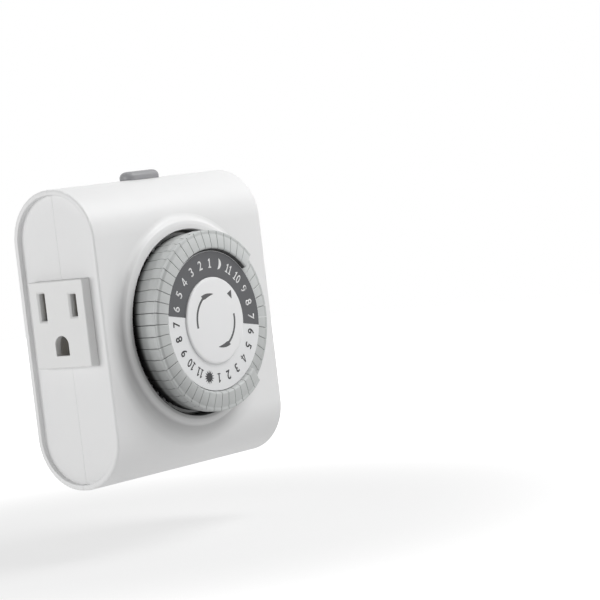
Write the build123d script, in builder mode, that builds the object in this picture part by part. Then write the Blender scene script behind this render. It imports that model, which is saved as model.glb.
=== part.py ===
from build123d import *
from math import asin, cos, degrees, radians, sin, sqrt, tan
import os

# Mechanical 24-hour plug-in timer switch with an outlet on each side.
# Millimetres. +Z up, the dial faces -Y, the wall is at y = 0 and the plug points to +Y.

# ---- case ----
CASE_W = 78.4
CASE_H = 91.0
CASE_D = 33.0
TOP_FLAT = 1.0
WALL = 2.0
RIM = 1.7
RECESS = 1.7
FIT = 0.2
SEAM = 0.05

# ---- dial ----
DIAL_PHASE = 19.0
HUB_R = 13.6
HUB_RISE = 10.1
HUB_GAP = 0.15
HUB_ROUND = 0.35
FACE_R = 21.4
FACE_RISE = 9.3
FACE_T = 1.2
DRUM_WALL = 1.5
TAPPET_IN_R = 22.1
TAPPET_OUT_R = 27.75
TAPPET_FOOT_R = 27.2
TAPPET_RISE = 10.6
TAPPET_TRAVEL = 2.1
TAPPET_LENGTH = 10.1
TAPPET_GAP = 0.25
TAPPET_LIP = 0.3
TAPPET_SLOPE = 0.95
TAPPET_SIDE_DROP = 1.3
TAIL_IN_R = 23.6
TAIL_OUT_R = 26.2
TAIL_W = 1.6
TAIL_LENGTH = 2.8
TAIL_PLAY = 0.15
HOURS = 24
FIRST_PUSHED_HOUR = 2
PUSHED_HOURS = 6
FLANGE_R = 27.7
FLANGE_T = 1.2
WEB_T = 1.0
WEB_HOLE_R = 3.2
WEB_HOLE_AT_R = 14.65
WEB_HOLES = 6
SLEEVE_R = 6.0
SEAT_R = 9.0
POST_R = 3.5
RUNNING = 0.05

# ---- bezel ----
OPENING_R = 28.0
BEZEL_R = 31.2
BEZEL_FOOT_R = 32.8
BEZEL_RISE = 1.7
COLLAR_T = 1.4
COLLAR_DEPTH = 4.0

# ---- outlets, a standard 5-15 receptacle on each side ----
SLOT_Z = 10.55
SLOT_OFFSET = 6.35
GROUND_DROP = 11.9
BLOCK_D = 22.2
BLOCK_H = 26.3
BLOCK_Z = 5.1
BLOCK_PROUD = 3.3
BLOCK_INNER_X = 20.5
BLOCK_FLANGE = 1.2
BLOCK_FACE_T = 2.4
BLOCK_ROUND = 0.5
SLOT_W = 2.3
NEUTRAL_SLOT_H = 8.3
HOT_SLOT_H = 6.7
SLOT_BEVEL = 0.6
GROUND_W = 5.4
GROUND_H = 6.0
POCKET_W = 5.0
POCKET_H = 10.2
GROUND_POCKET = 8.0

# ---- plug, a standard 5-15 plug on the back ----
BLADE_T = 1.5
BLADE_H = 6.35
BLADE_LENGTH = 17.5
PIN_R = 2.4
PIN_LENGTH = 21.0
PIN_NOSE = 1.2
PIN_NECK_R = 2.0
PIN_RELIEF = 0.6
PAD_W = 22.7
PAD_H = 25.9
PAD_SHORT = 2.0

# ---- brass strip ----
STRIP_T = 0.8
STRIP_H = 4.5
CLIP_T = 0.6
CLIP_H = 7.0
CLIP_GRIP = 1.4
CLIP_LENGTH = 13.0
GROUND_GRIP = 4.7
BUS_BEND_X = 6.35
BUS_LEVEL_GAP = 0.5
FEED_DEPTH = 7.0
FEED_W = 4.0
FEED_SHORT = 3.3

# ---- movement ----
PLATE_T = 1.5
PLATE_GAP = 0.4
PLATE_NECK_W = 39.0
PLATE_WIDE_W = 60.0
PLATE_END_GAP = 9.5
PLATE_STEP_LOW = -10.0
PLATE_STEP_HIGH = 20.2
PLATE_POST_X = 27.0
PLATE_POST_INSET = 3.0
PLATE_POST_R = 2.6
POST_SINK = 0.5
GEAR_MODULE = 0.6
GEAR_T = 1.2
TAIL_CLEAR = 0.3
WHEEL_GAP = 0.5
ARBOR_END = 0.4
TOOTH_FOOT = 1.05
TOOTH_TIP = 0.75
FOOT_SHARE = 0.26
TIP_SHARE = 0.12
DIAL_TEETH = 60
DIAL_PINION_TEETH = 12
WHEEL_TEETH = 30
MOTOR_PINION_TEETH = 10
ARBOR_R = 1.0
ARBOR_ANGLE = -70.0
MOTOR_ANGLE = -23.5
MOTOR_R = 11.5
MOTOR_D = 12.0
MOTOR_GAP = 0.8
MOTOR_WALL = 0.8
MOTOR_POST_R = 1.5
MOTOR_POST_ANGLE = 60.0
COIL_R = 9.8
COIL_FLANGE_T = 1.0
ROTOR_R = 5.5
ROTOR_GAP = 0.5
ROTOR_SHORT = 3.0
SHAFT_R = 0.75
SPRING_T = 0.5

# ---- switch ----
LEVER_X = -10.0
LEVER_W = 4.0
PIVOT_RISE = 1.0
PIVOT_OFFSET = 0.3
LEVER_PIN_R = 1.0
EAR_T = 1.8
EAR_R = 2.4
EAR_FOOT = 4.0
LEVER_EYE_R = 2.6
LEVER_PLATE_GAP = 0.3
FINGER_R = 25.0
FINGER_W = 2.4
FINGER_GAP = 0.35
FINGER_WINDOW_W = 5.0
FINGER_WINDOW_H = 4.8
NOSE_Z = 21.0
LEAF_T = 0.4
LEAF_W = 4.0
LEAF_TOP_Z = 31.0
CONTACT_Z = 29.5
CONTACT_R = 1.5
CONTACT_T = 0.8
CONTACT_OPEN = 2.6

# ---- override slide ----
KNOB_W = 13.0
KNOB_D = 5.4
KNOB_RISE = 2.5
KNOB_R = 2.5
KNOB_CROWN_R = 1.3
KNOB_X = 2.7
KNOB_GAP = 0.15
SLIDE_TRAVEL = 4.4
STEM_W = 3.0
STEM_D = 2.0
FOOT_W = 9.0
FOOT_D = 5.0
FOOT_T = 1.2

# ---- screws ----
BOSS_X = 33.0
BOSS_Z = 28.0
BOSS_R = 2.4
REAR_BOSS_R = 3.0
SCREW_R = 1.2
SCREW_HEAD_R = 2.2
SCREW_HEAD_T = 1.5
SCREW_LENGTH = 22.0
HEAD_SINK = 2.5
CROSS_W = 0.6
CROSS_DEPTH = 0.7
PILOT_SPARE = 1.0
PLATE_SCREW_R = 1.0
PLATE_HEAD_R = 1.9
PLATE_HEAD_T = 1.2
PLATE_SCREW_LENGTH = 4.0

# ---- leads ----
LEAD_R = 0.7
LEAD_SLOT_DROP = 1.5
LEAD_SPACING = 2.1
NEUTRAL_LEAD_BACK = 1.5
NEUTRAL_SWEEP = 12.4
NEUTRAL_RISE = 14.4
HOT_SWEEP = 7.65
HOT_KNEE_DROP = 14.3
HOT_RISE = 8.3
BEND_SHARE = 0.45

# ---- worked out from the sizes above ----
CASE_R = (CASE_D - TOP_FLAT) / 2
MID_Y = -CASE_D / 2
FRONT_Y = -CASE_D
HALF_W = CASE_W / 2
HALF_H = CASE_H / 2
PANEL_X = HALF_W - RECESS
INNER_X = PANEL_X - WALL
FACE_Y = FRONT_Y - FACE_RISE
TAPPET_FRONT_Y = FRONT_Y - TAPPET_RISE
TAPPET_BACK_Y = TAPPET_FRONT_Y + TAPPET_LENGTH
FLANGE_Y = TAPPET_BACK_Y + TAPPET_TRAVEL + FIT
FLANGE_BACK_Y = FLANGE_Y + FLANGE_T
TAIL_PUSHED_Y = TAPPET_BACK_Y + TAPPET_TRAVEL + TAIL_LENGTH
GEAR_FRONT_Y = TAIL_PUSHED_Y + TAIL_CLEAR
GEAR_BACK_Y = GEAR_FRONT_Y + GEAR_T
PLATE_FRONT_Y = GEAR_BACK_Y + PLATE_GAP
PLATE_BACK_Y = PLATE_FRONT_Y + PLATE_T
PLATE_HALF_H = HALF_H - PLATE_END_GAP
PLATE_POST_Z = PLATE_HALF_H - PLATE_POST_INSET
GROUND_Z = SLOT_Z - GROUND_DROP
BACK_CONTACT_Y = MID_Y + SLOT_OFFSET
FRONT_CONTACT_Y = MID_Y - SLOT_OFFSET
NEUTRAL_STRIP_Z = SLOT_Z + (STRIP_H + BUS_LEVEL_GAP) / 2
HOT_STRIP_Z = SLOT_Z - (STRIP_H + BUS_LEVEL_GAP) / 2
STEP_ANGLE = 360 / (2 * HOURS)


def facing(y):
    """Plane across the object at depth y, seen from the front: local x is +X, local y is +Z."""
    return Plane(origin=(0, y, 0), x_dir=(1, 0, 0), z_dir=(0, -1, 0))


def side(x):
    """Plane across the object at x: local x is +Y, local y is +Z, and it looks to +X."""
    return Plane(origin=(x, 0, 0), x_dir=(0, 1, 0), z_dir=(1, 0, 0))


def save(builder, name):
    builder.part.label = name
    export_step(builder.part, f"parts/{name}.step")


def on_circle(radius, angle):
    return radius * cos(radians(angle)), radius * sin(radians(angle))


os.makedirs("parts", exist_ok=True)


# ---------------------------------------------------------------- case shells
def case_shell(name, is_front):
    """One half of the case: a stadium-section tube with a recessed panel at each end."""
    with BuildPart() as shell:
        with BuildSketch(side(-HALF_W)):
            with Locations((MID_Y, 0)):
                RectangleRounded(CASE_D, CASE_H, CASE_R)
        extrude(amount=CASE_W)
        for x in (-HALF_W, PANEL_X):
            with BuildSketch(side(x)):
                with Locations((MID_Y, 0)):
                    RectangleRounded(CASE_D - 2 * RIM, CASE_H - 2 * RIM, CASE_R - RIM)
            extrude(amount=RECESS, mode=Mode.SUBTRACT)
        with BuildSketch(side(-INNER_X)):
            with Locations((MID_Y, 0)):
                RectangleRounded(CASE_D - 2 * WALL, CASE_H - 2 * WALL, CASE_R - WALL)
        extrude(amount=2 * INNER_X, mode=Mode.SUBTRACT)
        if is_front:
            front_features()
        else:
            rear_features()
        keep = Keep.TOP if is_front else Keep.BOTTOM
        seam_y = MID_Y - SEAM / 2 if is_front else MID_Y + SEAM / 2
        split(bisect_by=facing(seam_y), keep=keep)
        with BuildSketch(side(-HALF_W)):
            with Locations((MID_Y, BLOCK_Z)):
                Rectangle(BLOCK_D + 2 * SEAM, BLOCK_H + 2 * SEAM)
        extrude(amount=CASE_W, mode=Mode.SUBTRACT)
        with BuildSketch(Plane.XY.offset(HALF_H - 2 * WALL)):
            with Locations((KNOB_X - SLIDE_TRAVEL / 2, MID_Y)):
                Rectangle(STEM_W + SLIDE_TRAVEL + 2 * FIT, STEM_D + 2 * FIT)
        extrude(amount=3 * WALL, mode=Mode.SUBTRACT)
    save(shell, name)


def front_features():
    """Bezel ring, dial well, screw bosses and the posts that carry the movement plate."""
    with BuildSketch(Plane.XY) as profile:
        with BuildLine():
            Polyline(
                (OPENING_R, FRONT_Y + WALL),
                (OPENING_R, FRONT_Y - BEZEL_RISE),
                (BEZEL_R, FRONT_Y - BEZEL_RISE),
                (BEZEL_FOOT_R, FRONT_Y),
                (BEZEL_FOOT_R, FRONT_Y + WALL),
                close=True,
            )
        make_face()
    revolve(profile.sketch, axis=Axis.Y)
    with BuildSketch(facing(FRONT_Y + WALL)) as profile:
        Circle(OPENING_R + COLLAR_T)
    extrude(profile.sketch, amount=-(COLLAR_DEPTH - WALL))
    with BuildSketch(facing(FRONT_Y + COLLAR_DEPTH)) as profile:
        Circle(OPENING_R)
    extrude(profile.sketch, amount=COLLAR_DEPTH + BEZEL_RISE, mode=Mode.SUBTRACT)
    with BuildSketch(facing(MID_Y)) as profile:
        with GridLocations(2 * BOSS_X, 2 * BOSS_Z, 2, 2):
            Circle(BOSS_R)
    extrude(profile.sketch, amount=CASE_D / 2 - WALL)
    with BuildSketch(facing(MID_Y)) as profile:
        with GridLocations(2 * BOSS_X, 2 * BOSS_Z, 2, 2):
            Circle(SCREW_R)
    extrude(profile.sketch, amount=SCREW_LENGTH - (CASE_D / 2 - HEAD_SINK) + PILOT_SPARE, mode=Mode.SUBTRACT)
    with BuildSketch(facing(PLATE_FRONT_Y)) as profile:
        with GridLocations(2 * PLATE_POST_X, 2 * PLATE_POST_Z, 2, 2):
            Circle(PLATE_POST_R)
            Circle(PLATE_SCREW_R, mode=Mode.SUBTRACT)
    extrude(profile.sketch, amount=PLATE_FRONT_Y - FRONT_Y - WALL + POST_SINK)


def rear_features():
    """Screw bosses with sunk head holes, and the thick pad that the plug stands in."""
    with BuildSketch(facing(MID_Y)) as profile:
        with GridLocations(2 * BOSS_X, 2 * BOSS_Z, 2, 2):
            Circle(REAR_BOSS_R)
    extrude(profile.sketch, amount=-(CASE_D / 2 - WALL))
    with BuildSketch(facing(0)) as profile:
        with GridLocations(2 * BOSS_X, 2 * BOSS_Z, 2, 2):
            Circle(SCREW_HEAD_R + FIT)
    extrude(profile.sketch, amount=HEAD_SINK, mode=Mode.SUBTRACT)
    with BuildSketch(facing(0)) as profile:
        with GridLocations(2 * BOSS_X, 2 * BOSS_Z, 2, 2):
            Circle(SCREW_R + FIT)
    extrude(profile.sketch, amount=CASE_D / 2, mode=Mode.SUBTRACT)
    with BuildSketch(facing(-WALL)) as profile:
        with Locations((0, (SLOT_Z + GROUND_Z) / 2)):
            Rectangle(PAD_W, PAD_H)
    extrude(profile.sketch, amount=FEED_DEPTH - WALL - PAD_SHORT)
    with BuildSketch(facing(0)) as profile:
        with Locations((-SLOT_OFFSET, SLOT_Z), (SLOT_OFFSET, SLOT_Z)):
            Rectangle(BLADE_T + SEAM, BLADE_H + SEAM)
        with Locations((0, GROUND_Z)):
            Circle(PIN_NECK_R + SEAM / 2)
    extrude(profile.sketch, amount=FEED_DEPTH, mode=Mode.SUBTRACT)
    with BuildSketch(facing(0)) as profile:
        with Locations((0, GROUND_Z)):
            Circle(PIN_R + FIT)
    extrude(profile.sketch, amount=PIN_RELIEF, mode=Mode.SUBTRACT)


case_shell("front_shell", True)
case_shell("rear_shell", False)


# ---------------------------------------------------------------- outlets
def outlet_block(name, way):
    """Receptacle insert; way is -1 on the left side and +1 on the right side."""
    face_x = way * (PANEL_X + BLOCK_PROUD)
    neutral_y = MID_Y - way * SLOT_OFFSET
    hot_y = MID_Y + way * SLOT_OFFSET
    depth = PANEL_X + BLOCK_PROUD - BLOCK_INNER_X
    with BuildPart() as block:
        with BuildSketch(side(way * BLOCK_INNER_X)):
            with Locations((MID_Y, BLOCK_Z)):
                Rectangle(BLOCK_D, BLOCK_H)
        extrude(amount=way * depth)
        with BuildSketch(side(way * (INNER_X - BLOCK_FLANGE))):
            with Locations((MID_Y, BLOCK_Z)):
                Rectangle(BLOCK_D + 2 * BLOCK_FLANGE, BLOCK_H + 2 * BLOCK_FLANGE)
        extrude(amount=way * BLOCK_FLANGE)
        with BuildSketch(side(way * BLOCK_INNER_X)):
            with Locations((neutral_y, SLOT_Z), (hot_y, SLOT_Z)):
                Rectangle(POCKET_W, POCKET_H)
            with Locations((MID_Y, GROUND_Z)):
                Rectangle(GROUND_POCKET, GROUND_POCKET)
        extrude(amount=way * (depth - BLOCK_FACE_T), mode=Mode.SUBTRACT)
        with BuildSketch(side(face_x)):
            with Locations((neutral_y, SLOT_Z)):
                Rectangle(SLOT_W, NEUTRAL_SLOT_H)
            with Locations((hot_y, SLOT_Z)):
                Rectangle(SLOT_W, HOT_SLOT_H)
            with Locations((MID_Y, GROUND_Z)):
                add(ground_outline(GROUND_W, GROUND_H))
        extrude(amount=-way * BLOCK_FACE_T, mode=Mode.SUBTRACT)
        for y, height in ((neutral_y, NEUTRAL_SLOT_H), (hot_y, HOT_SLOT_H)):
            with BuildSketch(side(face_x)):
                with Locations((y, SLOT_Z)):
                    Rectangle(SLOT_W + 2 * SLOT_BEVEL, height + 2 * SLOT_BEVEL)
            extrude(amount=-way * SLOT_BEVEL, taper=45, mode=Mode.SUBTRACT)
        outer = block.faces().filter_by(Axis.X).sort_by(Axis.X)[-1 if way > 0 else 0]
        fillet(outer.outer_wire().edges(), radius=BLOCK_ROUND)
    save(block, name)


def ground_outline(width, height):
    """D-shaped ground hole, arched at the top and flat at the bottom."""
    radius = width / 2
    spring = height / 2 - radius
    with BuildSketch() as outline:
        with BuildLine():
            base = Polyline((-radius, spring), (-radius, -height / 2), (radius, -height / 2), (radius, spring))
            ThreePointArc(base @ 1, (0, spring + radius), base @ 0)
        make_face()
    return outline.sketch


outlet_block("outlet_block_left", -1)
outlet_block("outlet_block_right", 1)


# ---------------------------------------------------------------- plug
def blade(name, x, root):
    with BuildPart() as prong:
        with BuildSketch(facing(BLADE_LENGTH)):
            with Locations((x, SLOT_Z)):
                Rectangle(BLADE_T, BLADE_H)
        extrude(amount=BLADE_LENGTH + root)
        tip = prong.faces().sort_by(Axis.Y)[-1]
        chamfer(tip.edges().filter_by(Axis.Z), length=BLADE_T / 3)
    save(prong, name)


blade("blade_neutral", -SLOT_OFFSET, -BACK_CONTACT_Y - STRIP_T / 2)
blade("blade_hot", SLOT_OFFSET, FEED_DEPTH)

with BuildPart() as ground_pin:
    with BuildSketch(facing(PIN_LENGTH)):
        with Locations((0, GROUND_Z)):
            Circle(PIN_R)
    extrude(amount=PIN_LENGTH)
    chamfer(ground_pin.faces().sort_by(Axis.Y)[-1].edges(), length=PIN_NOSE)
    with BuildSketch(facing(0)):
        with Locations((0, GROUND_Z)):
            Circle(PIN_NECK_R)
    extrude(amount=-MID_Y - STRIP_T / 2)
save(ground_pin, "ground_pin")


# ---------------------------------------------------------------- brass strips with their clips
def clip(y, z, grip, height, way):
    """Pair of spring leaves that grip one prong, with the web that joins them."""
    web_x = way * BLOCK_INNER_X
    with BuildSketch(side(web_x)) as profile:
        for shift in (-1, 1):
            with Locations((y + shift * (grip + CLIP_T) / 2, z)):
                Rectangle(CLIP_T, height)
    extrude(profile.sketch, amount=way * CLIP_LENGTH)
    with BuildSketch(side(web_x)) as profile:
        with Locations((y, z)):
            Rectangle(grip + 2 * CLIP_T, height)
    extrude(profile.sketch, amount=-way * STRIP_T)


def strip(points, z, height):
    """Flat strip on edge that follows a path in plan."""
    with BuildSketch(Plane.XY.offset(z - height / 2)) as profile:
        with BuildLine() as path:
            Polyline(*points)
        trace(path.line, STRIP_T)
    extrude(profile.sketch, amount=height)


END_X = BLOCK_INNER_X - STRIP_T / 2

with BuildPart() as neutral_bus:
    clip(BACK_CONTACT_Y, SLOT_Z, CLIP_GRIP, CLIP_H, -1)
    clip(FRONT_CONTACT_Y, SLOT_Z, CLIP_GRIP, CLIP_H, 1)
    strip(
        [(-END_X, BACK_CONTACT_Y), (-BUS_BEND_X, BACK_CONTACT_Y),
         (BUS_BEND_X, FRONT_CONTACT_Y), (END_X, FRONT_CONTACT_Y)],
        NEUTRAL_STRIP_Z, STRIP_H,
    )
save(neutral_bus, "neutral_bus")

with BuildPart() as switched_bus:
    clip(FRONT_CONTACT_Y, SLOT_Z, CLIP_GRIP, CLIP_H, -1)
    clip(BACK_CONTACT_Y, SLOT_Z, CLIP_GRIP, CLIP_H, 1)
    strip(
        [(-END_X, FRONT_CONTACT_Y), (-BUS_BEND_X, FRONT_CONTACT_Y),
         (BUS_BEND_X, BACK_CONTACT_Y), (END_X, BACK_CONTACT_Y)],
        HOT_STRIP_Z, STRIP_H,
    )
save(switched_bus, "switched_bus")

with BuildPart() as ground_bus:
    for way in (-1, 1):
        clip(MID_Y, GROUND_Z, GROUND_GRIP, STRIP_H, way)
    strip([(-END_X, MID_Y), (END_X, MID_Y)], GROUND_Z, STRIP_H)
save(ground_bus, "ground_bus")


# ---------------------------------------------------------------- movement plate and centre post
LEVER_FRONT_Y = PLATE_BACK_Y + LEVER_PLATE_GAP
LEVER_PIVOT_Y = LEVER_FRONT_Y + LEVER_EYE_R + PIVOT_OFFSET
LEVER_PIVOT_Z = PLATE_HALF_H + PIVOT_RISE
FINGER_Z = sqrt(FINGER_R ** 2 - LEVER_X ** 2)
ARBOR_DISTANCE = GEAR_MODULE * (DIAL_TEETH + DIAL_PINION_TEETH) / 2
ARBOR_X, ARBOR_Z = on_circle(ARBOR_DISTANCE, ARBOR_ANGLE)
MOTOR_DISTANCE = GEAR_MODULE * (WHEEL_TEETH + MOTOR_PINION_TEETH) / 2
MOTOR_DX, MOTOR_DZ = on_circle(MOTOR_DISTANCE, MOTOR_ANGLE)
MOTOR_X = ARBOR_X + MOTOR_DX
MOTOR_Z = ARBOR_Z + MOTOR_DZ
WHEEL_FRONT_Y = PLATE_BACK_Y + WHEEL_GAP
WHEEL_BACK_Y = WHEEL_FRONT_Y + GEAR_T
MOTOR_FRONT_Y = WHEEL_BACK_Y + MOTOR_GAP
EAR_GAP = LEVER_W / 2 + FIT

with BuildPart() as movement_plate:
    with BuildSketch(facing(PLATE_BACK_Y)):
        with Locations((0, (PLATE_STEP_LOW + PLATE_STEP_HIGH) / 2)):
            Rectangle(PLATE_NECK_W, PLATE_STEP_HIGH - PLATE_STEP_LOW)
        with Locations((0, (PLATE_HALF_H + PLATE_STEP_HIGH) / 2)):
            Rectangle(PLATE_WIDE_W, PLATE_HALF_H - PLATE_STEP_HIGH)
        with Locations((0, (PLATE_STEP_LOW - PLATE_HALF_H) / 2)):
            Rectangle(PLATE_WIDE_W, PLATE_HALF_H + PLATE_STEP_LOW)
        with GridLocations(2 * PLATE_POST_X, 2 * PLATE_POST_Z, 2, 2):
            Circle(PLATE_SCREW_R + FIT / 2, mode=Mode.SUBTRACT)
        with Locations((ARBOR_X, ARBOR_Z)):
            Circle(ARBOR_R + RUNNING, mode=Mode.SUBTRACT)
        with Locations((LEVER_X, FINGER_Z)):
            Rectangle(FINGER_WINDOW_W, FINGER_WINDOW_H, mode=Mode.SUBTRACT)
    extrude(amount=PLATE_T)
    with BuildSketch(facing(PLATE_FRONT_Y)):
        Circle(POST_R)
    extrude(amount=PLATE_FRONT_Y - FACE_Y)
    for shift in (-EAR_GAP - EAR_T, EAR_GAP):
        with BuildSketch(side(LEVER_X + shift)):
            with BuildLine():
                Polyline(
                    (PLATE_BACK_Y, LEVER_PIVOT_Z - EAR_R - EAR_FOOT),
                    (PLATE_BACK_Y, PLATE_HALF_H),
                    (LEVER_PIVOT_Y, LEVER_PIVOT_Z + EAR_R),
                    (LEVER_PIVOT_Y + EAR_R, LEVER_PIVOT_Z),
                    (LEVER_PIVOT_Y, LEVER_PIVOT_Z - EAR_R),
                    close=True,
                )
            make_face()
            with Locations((LEVER_PIVOT_Y, LEVER_PIVOT_Z)):
                Circle(LEVER_PIN_R, mode=Mode.SUBTRACT)
        extrude(amount=EAR_T)
    with BuildSketch(facing(MOTOR_FRONT_Y)):
        for angle in (-MOTOR_POST_ANGLE, MOTOR_POST_ANGLE):
            post_dx, post_dz = on_circle(MOTOR_R - MOTOR_POST_R, angle)
            with Locations((MOTOR_X + post_dx, MOTOR_Z + post_dz)):
                Circle(MOTOR_POST_R)
    extrude(amount=MOTOR_FRONT_Y - PLATE_BACK_Y)
save(movement_plate, "movement_plate")

with BuildPart() as plate_screws:
    with BuildSketch(facing(PLATE_BACK_Y)):
        with GridLocations(2 * PLATE_POST_X, 2 * PLATE_POST_Z, 2, 2):
            Circle(PLATE_HEAD_R)
    extrude(amount=-PLATE_HEAD_T)
    with BuildSketch(facing(PLATE_BACK_Y)):
        with GridLocations(2 * PLATE_POST_X, 2 * PLATE_POST_Z, 2, 2):
            Circle(PLATE_SCREW_R)
    extrude(amount=PLATE_SCREW_LENGTH)
save(plate_screws, "plate_screws")

with BuildPart() as case_screws:
    with BuildSketch(facing(-HEAD_SINK + SCREW_HEAD_T)):
        with GridLocations(2 * BOSS_X, 2 * BOSS_Z, 2, 2):
            Circle(SCREW_HEAD_R)
    extrude(amount=SCREW_HEAD_T)
    with BuildSketch(facing(-HEAD_SINK)):
        with GridLocations(2 * BOSS_X, 2 * BOSS_Z, 2, 2):
            Circle(SCREW_R)
    extrude(amount=SCREW_LENGTH)
    with BuildSketch(facing(-HEAD_SINK + SCREW_HEAD_T)):
        with GridLocations(2 * BOSS_X, 2 * BOSS_Z, 2, 2):
            Rectangle(2 * SCREW_HEAD_R, CROSS_W)
            Rectangle(CROSS_W, 2 * SCREW_HEAD_R)
    extrude(amount=CROSS_DEPTH, mode=Mode.SUBTRACT)
save(case_screws, "case_screws")


# ---------------------------------------------------------------- dial
SPRING_FRONT_Y = GEAR_FRONT_Y - SPRING_T

with BuildPart() as dial:
    with BuildSketch(Plane.XY):
        with BuildLine():
            Polyline(
                (POST_R + RUNNING, FACE_Y),
                (FACE_R, FACE_Y),
                (FACE_R, FLANGE_Y),
                (FLANGE_R, FLANGE_Y),
                (FLANGE_R, FLANGE_BACK_Y),
                (SEAT_R, FLANGE_BACK_Y),
                (SEAT_R, SPRING_FRONT_Y),
                (SLEEVE_R, SPRING_FRONT_Y),
                (SLEEVE_R, GEAR_BACK_Y),
                (POST_R + RUNNING, GEAR_BACK_Y),
                close=True,
            )
        make_face()
        with BuildLine():
            Polyline(
                (SLEEVE_R, FACE_Y + FACE_T),
                (FACE_R - DRUM_WALL, FACE_Y + FACE_T),
                (FACE_R - DRUM_WALL, FLANGE_BACK_Y - WEB_T),
                (SLEEVE_R, FLANGE_BACK_Y - WEB_T),
                close=True,
            )
        make_face(mode=Mode.SUBTRACT)
    revolve(axis=Axis.Y)
    with BuildSketch(facing(FLANGE_BACK_Y)):
        with PolarLocations((TAIL_IN_R + TAIL_OUT_R) / 2, 2 * HOURS, start_angle=-DIAL_PHASE - STEP_ANGLE / 2):
            Rectangle(TAIL_OUT_R - TAIL_IN_R + 2 * TAIL_PLAY, TAIL_W + 2 * TAIL_PLAY)
        with PolarLocations(WEB_HOLE_AT_R, WEB_HOLES):
            Circle(WEB_HOLE_R)
    extrude(amount=FLANGE_T, mode=Mode.SUBTRACT)
save(dial, "dial")


def tappet(angle, front_y):
    """One half-hour tappet with its tail: a sloped front and a side that leans out; angle is its middle."""
    half = STEP_ANGLE / 2 - degrees(asin(TAPPET_GAP / 2 / TAPPET_OUT_R))
    back_y = front_y + TAPPET_LENGTH
    out_x, out_z = on_circle(1, angle + half)
    with BuildSketch(Plane(origin=(0, 0, 0), x_dir=(out_x, 0, out_z), z_dir=(-out_z, 0, out_x))) as profile:
        with BuildLine():
            Polyline(
                (TAPPET_IN_R, back_y),
                (TAPPET_IN_R, front_y),
                (TAPPET_OUT_R - TAPPET_LIP, front_y + TAPPET_SLOPE),
                (TAPPET_OUT_R, front_y + TAPPET_SIDE_DROP),
                (TAPPET_FOOT_R, back_y),
                close=True,
            )
        make_face()
    revolve(profile.sketch, axis=Axis.Y, revolution_arc=2 * half)
    with BuildSketch(facing(back_y + TAIL_LENGTH)) as profile:
        with PolarLocations((TAIL_IN_R + TAIL_OUT_R) / 2, 1, start_angle=angle):
            Rectangle(TAIL_OUT_R - TAIL_IN_R, TAIL_W)
    extrude(profile.sketch, amount=TAIL_LENGTH)


for hour in range(HOURS):
    is_pushed = FIRST_PUSHED_HOUR <= hour < FIRST_PUSHED_HOUR + PUSHED_HOURS
    tappet_y = TAPPET_FRONT_Y + (TAPPET_TRAVEL if is_pushed else 0)
    hour_angle = 90 - DIAL_PHASE - 2 * hour * STEP_ANGLE
    with BuildPart() as tappets:
        tappet(hour_angle - STEP_ANGLE / 2, tappet_y)
        tappet(hour_angle - 3 * STEP_ANGLE / 2, tappet_y)
    save(tappets, f"hour_tappets_{hour:02d}")

with BuildPart() as hub_cap:
    with BuildSketch(facing(FACE_Y - HUB_GAP)):
        Circle(HUB_R)
    extrude(amount=HUB_RISE - FACE_RISE - HUB_GAP)
    fillet(hub_cap.faces().sort_by(Axis.Y)[0].edges(), radius=HUB_ROUND)
    with BuildSketch(facing(FACE_Y)):
        Circle(POST_R)
    extrude(amount=HUB_GAP)
save(hub_cap, "hub_cap")


# ---------------------------------------------------------------- gears
def gear_face(teeth, phase):
    """Stub-tooth spur gear outline with plenty of backlash; phase is a tooth's middle."""
    pitch_r = GEAR_MODULE * teeth / 2
    root_r = pitch_r - TOOTH_FOOT * GEAR_MODULE
    tip_r = pitch_r + TOOTH_TIP * GEAR_MODULE
    points = []
    for tooth in range(teeth):
        middle = phase + 360 * tooth / teeth
        for radius, share in ((root_r, -FOOT_SHARE), (tip_r, -TIP_SHARE), (tip_r, TIP_SHARE), (root_r, FOOT_SHARE)):
            points.append(on_circle(radius, middle + share * 360 / teeth))
    with BuildSketch() as outline:
        with BuildLine():
            Polyline(*points, close=True)
        make_face()
    return outline.sketch


with BuildPart() as dial_gear:
    with BuildSketch(facing(GEAR_BACK_Y)):
        add(gear_face(DIAL_TEETH, ARBOR_ANGLE))
        Circle(SLEEVE_R + RUNNING, mode=Mode.SUBTRACT)
    extrude(amount=GEAR_T)
save(dial_gear, "dial_gear")

with BuildPart() as clutch_spring:
    with BuildSketch(facing(GEAR_FRONT_Y)):
        Circle(SEAT_R)
        Circle(SLEEVE_R + FIT, mode=Mode.SUBTRACT)
    extrude(amount=SPRING_T)
save(clutch_spring, "clutch_spring")

with BuildPart() as reduction_gear:
    with BuildSketch(facing(GEAR_BACK_Y)):
        with Locations((ARBOR_X, ARBOR_Z)):
            add(gear_face(DIAL_PINION_TEETH, ARBOR_ANGLE + 180 + 180 / DIAL_PINION_TEETH))
    extrude(amount=GEAR_T)
    with BuildSketch(facing(WHEEL_BACK_Y)):
        with Locations((ARBOR_X, ARBOR_Z)):
            add(gear_face(WHEEL_TEETH, MOTOR_ANGLE))
    extrude(amount=GEAR_T)
    with BuildSketch(facing(WHEEL_BACK_Y + ARBOR_END)):
        with Locations((ARBOR_X, ARBOR_Z)):
            Circle(ARBOR_R)
    extrude(amount=WHEEL_BACK_Y + ARBOR_END - GEAR_FRONT_Y)
save(reduction_gear, "reduction_gear")

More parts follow.
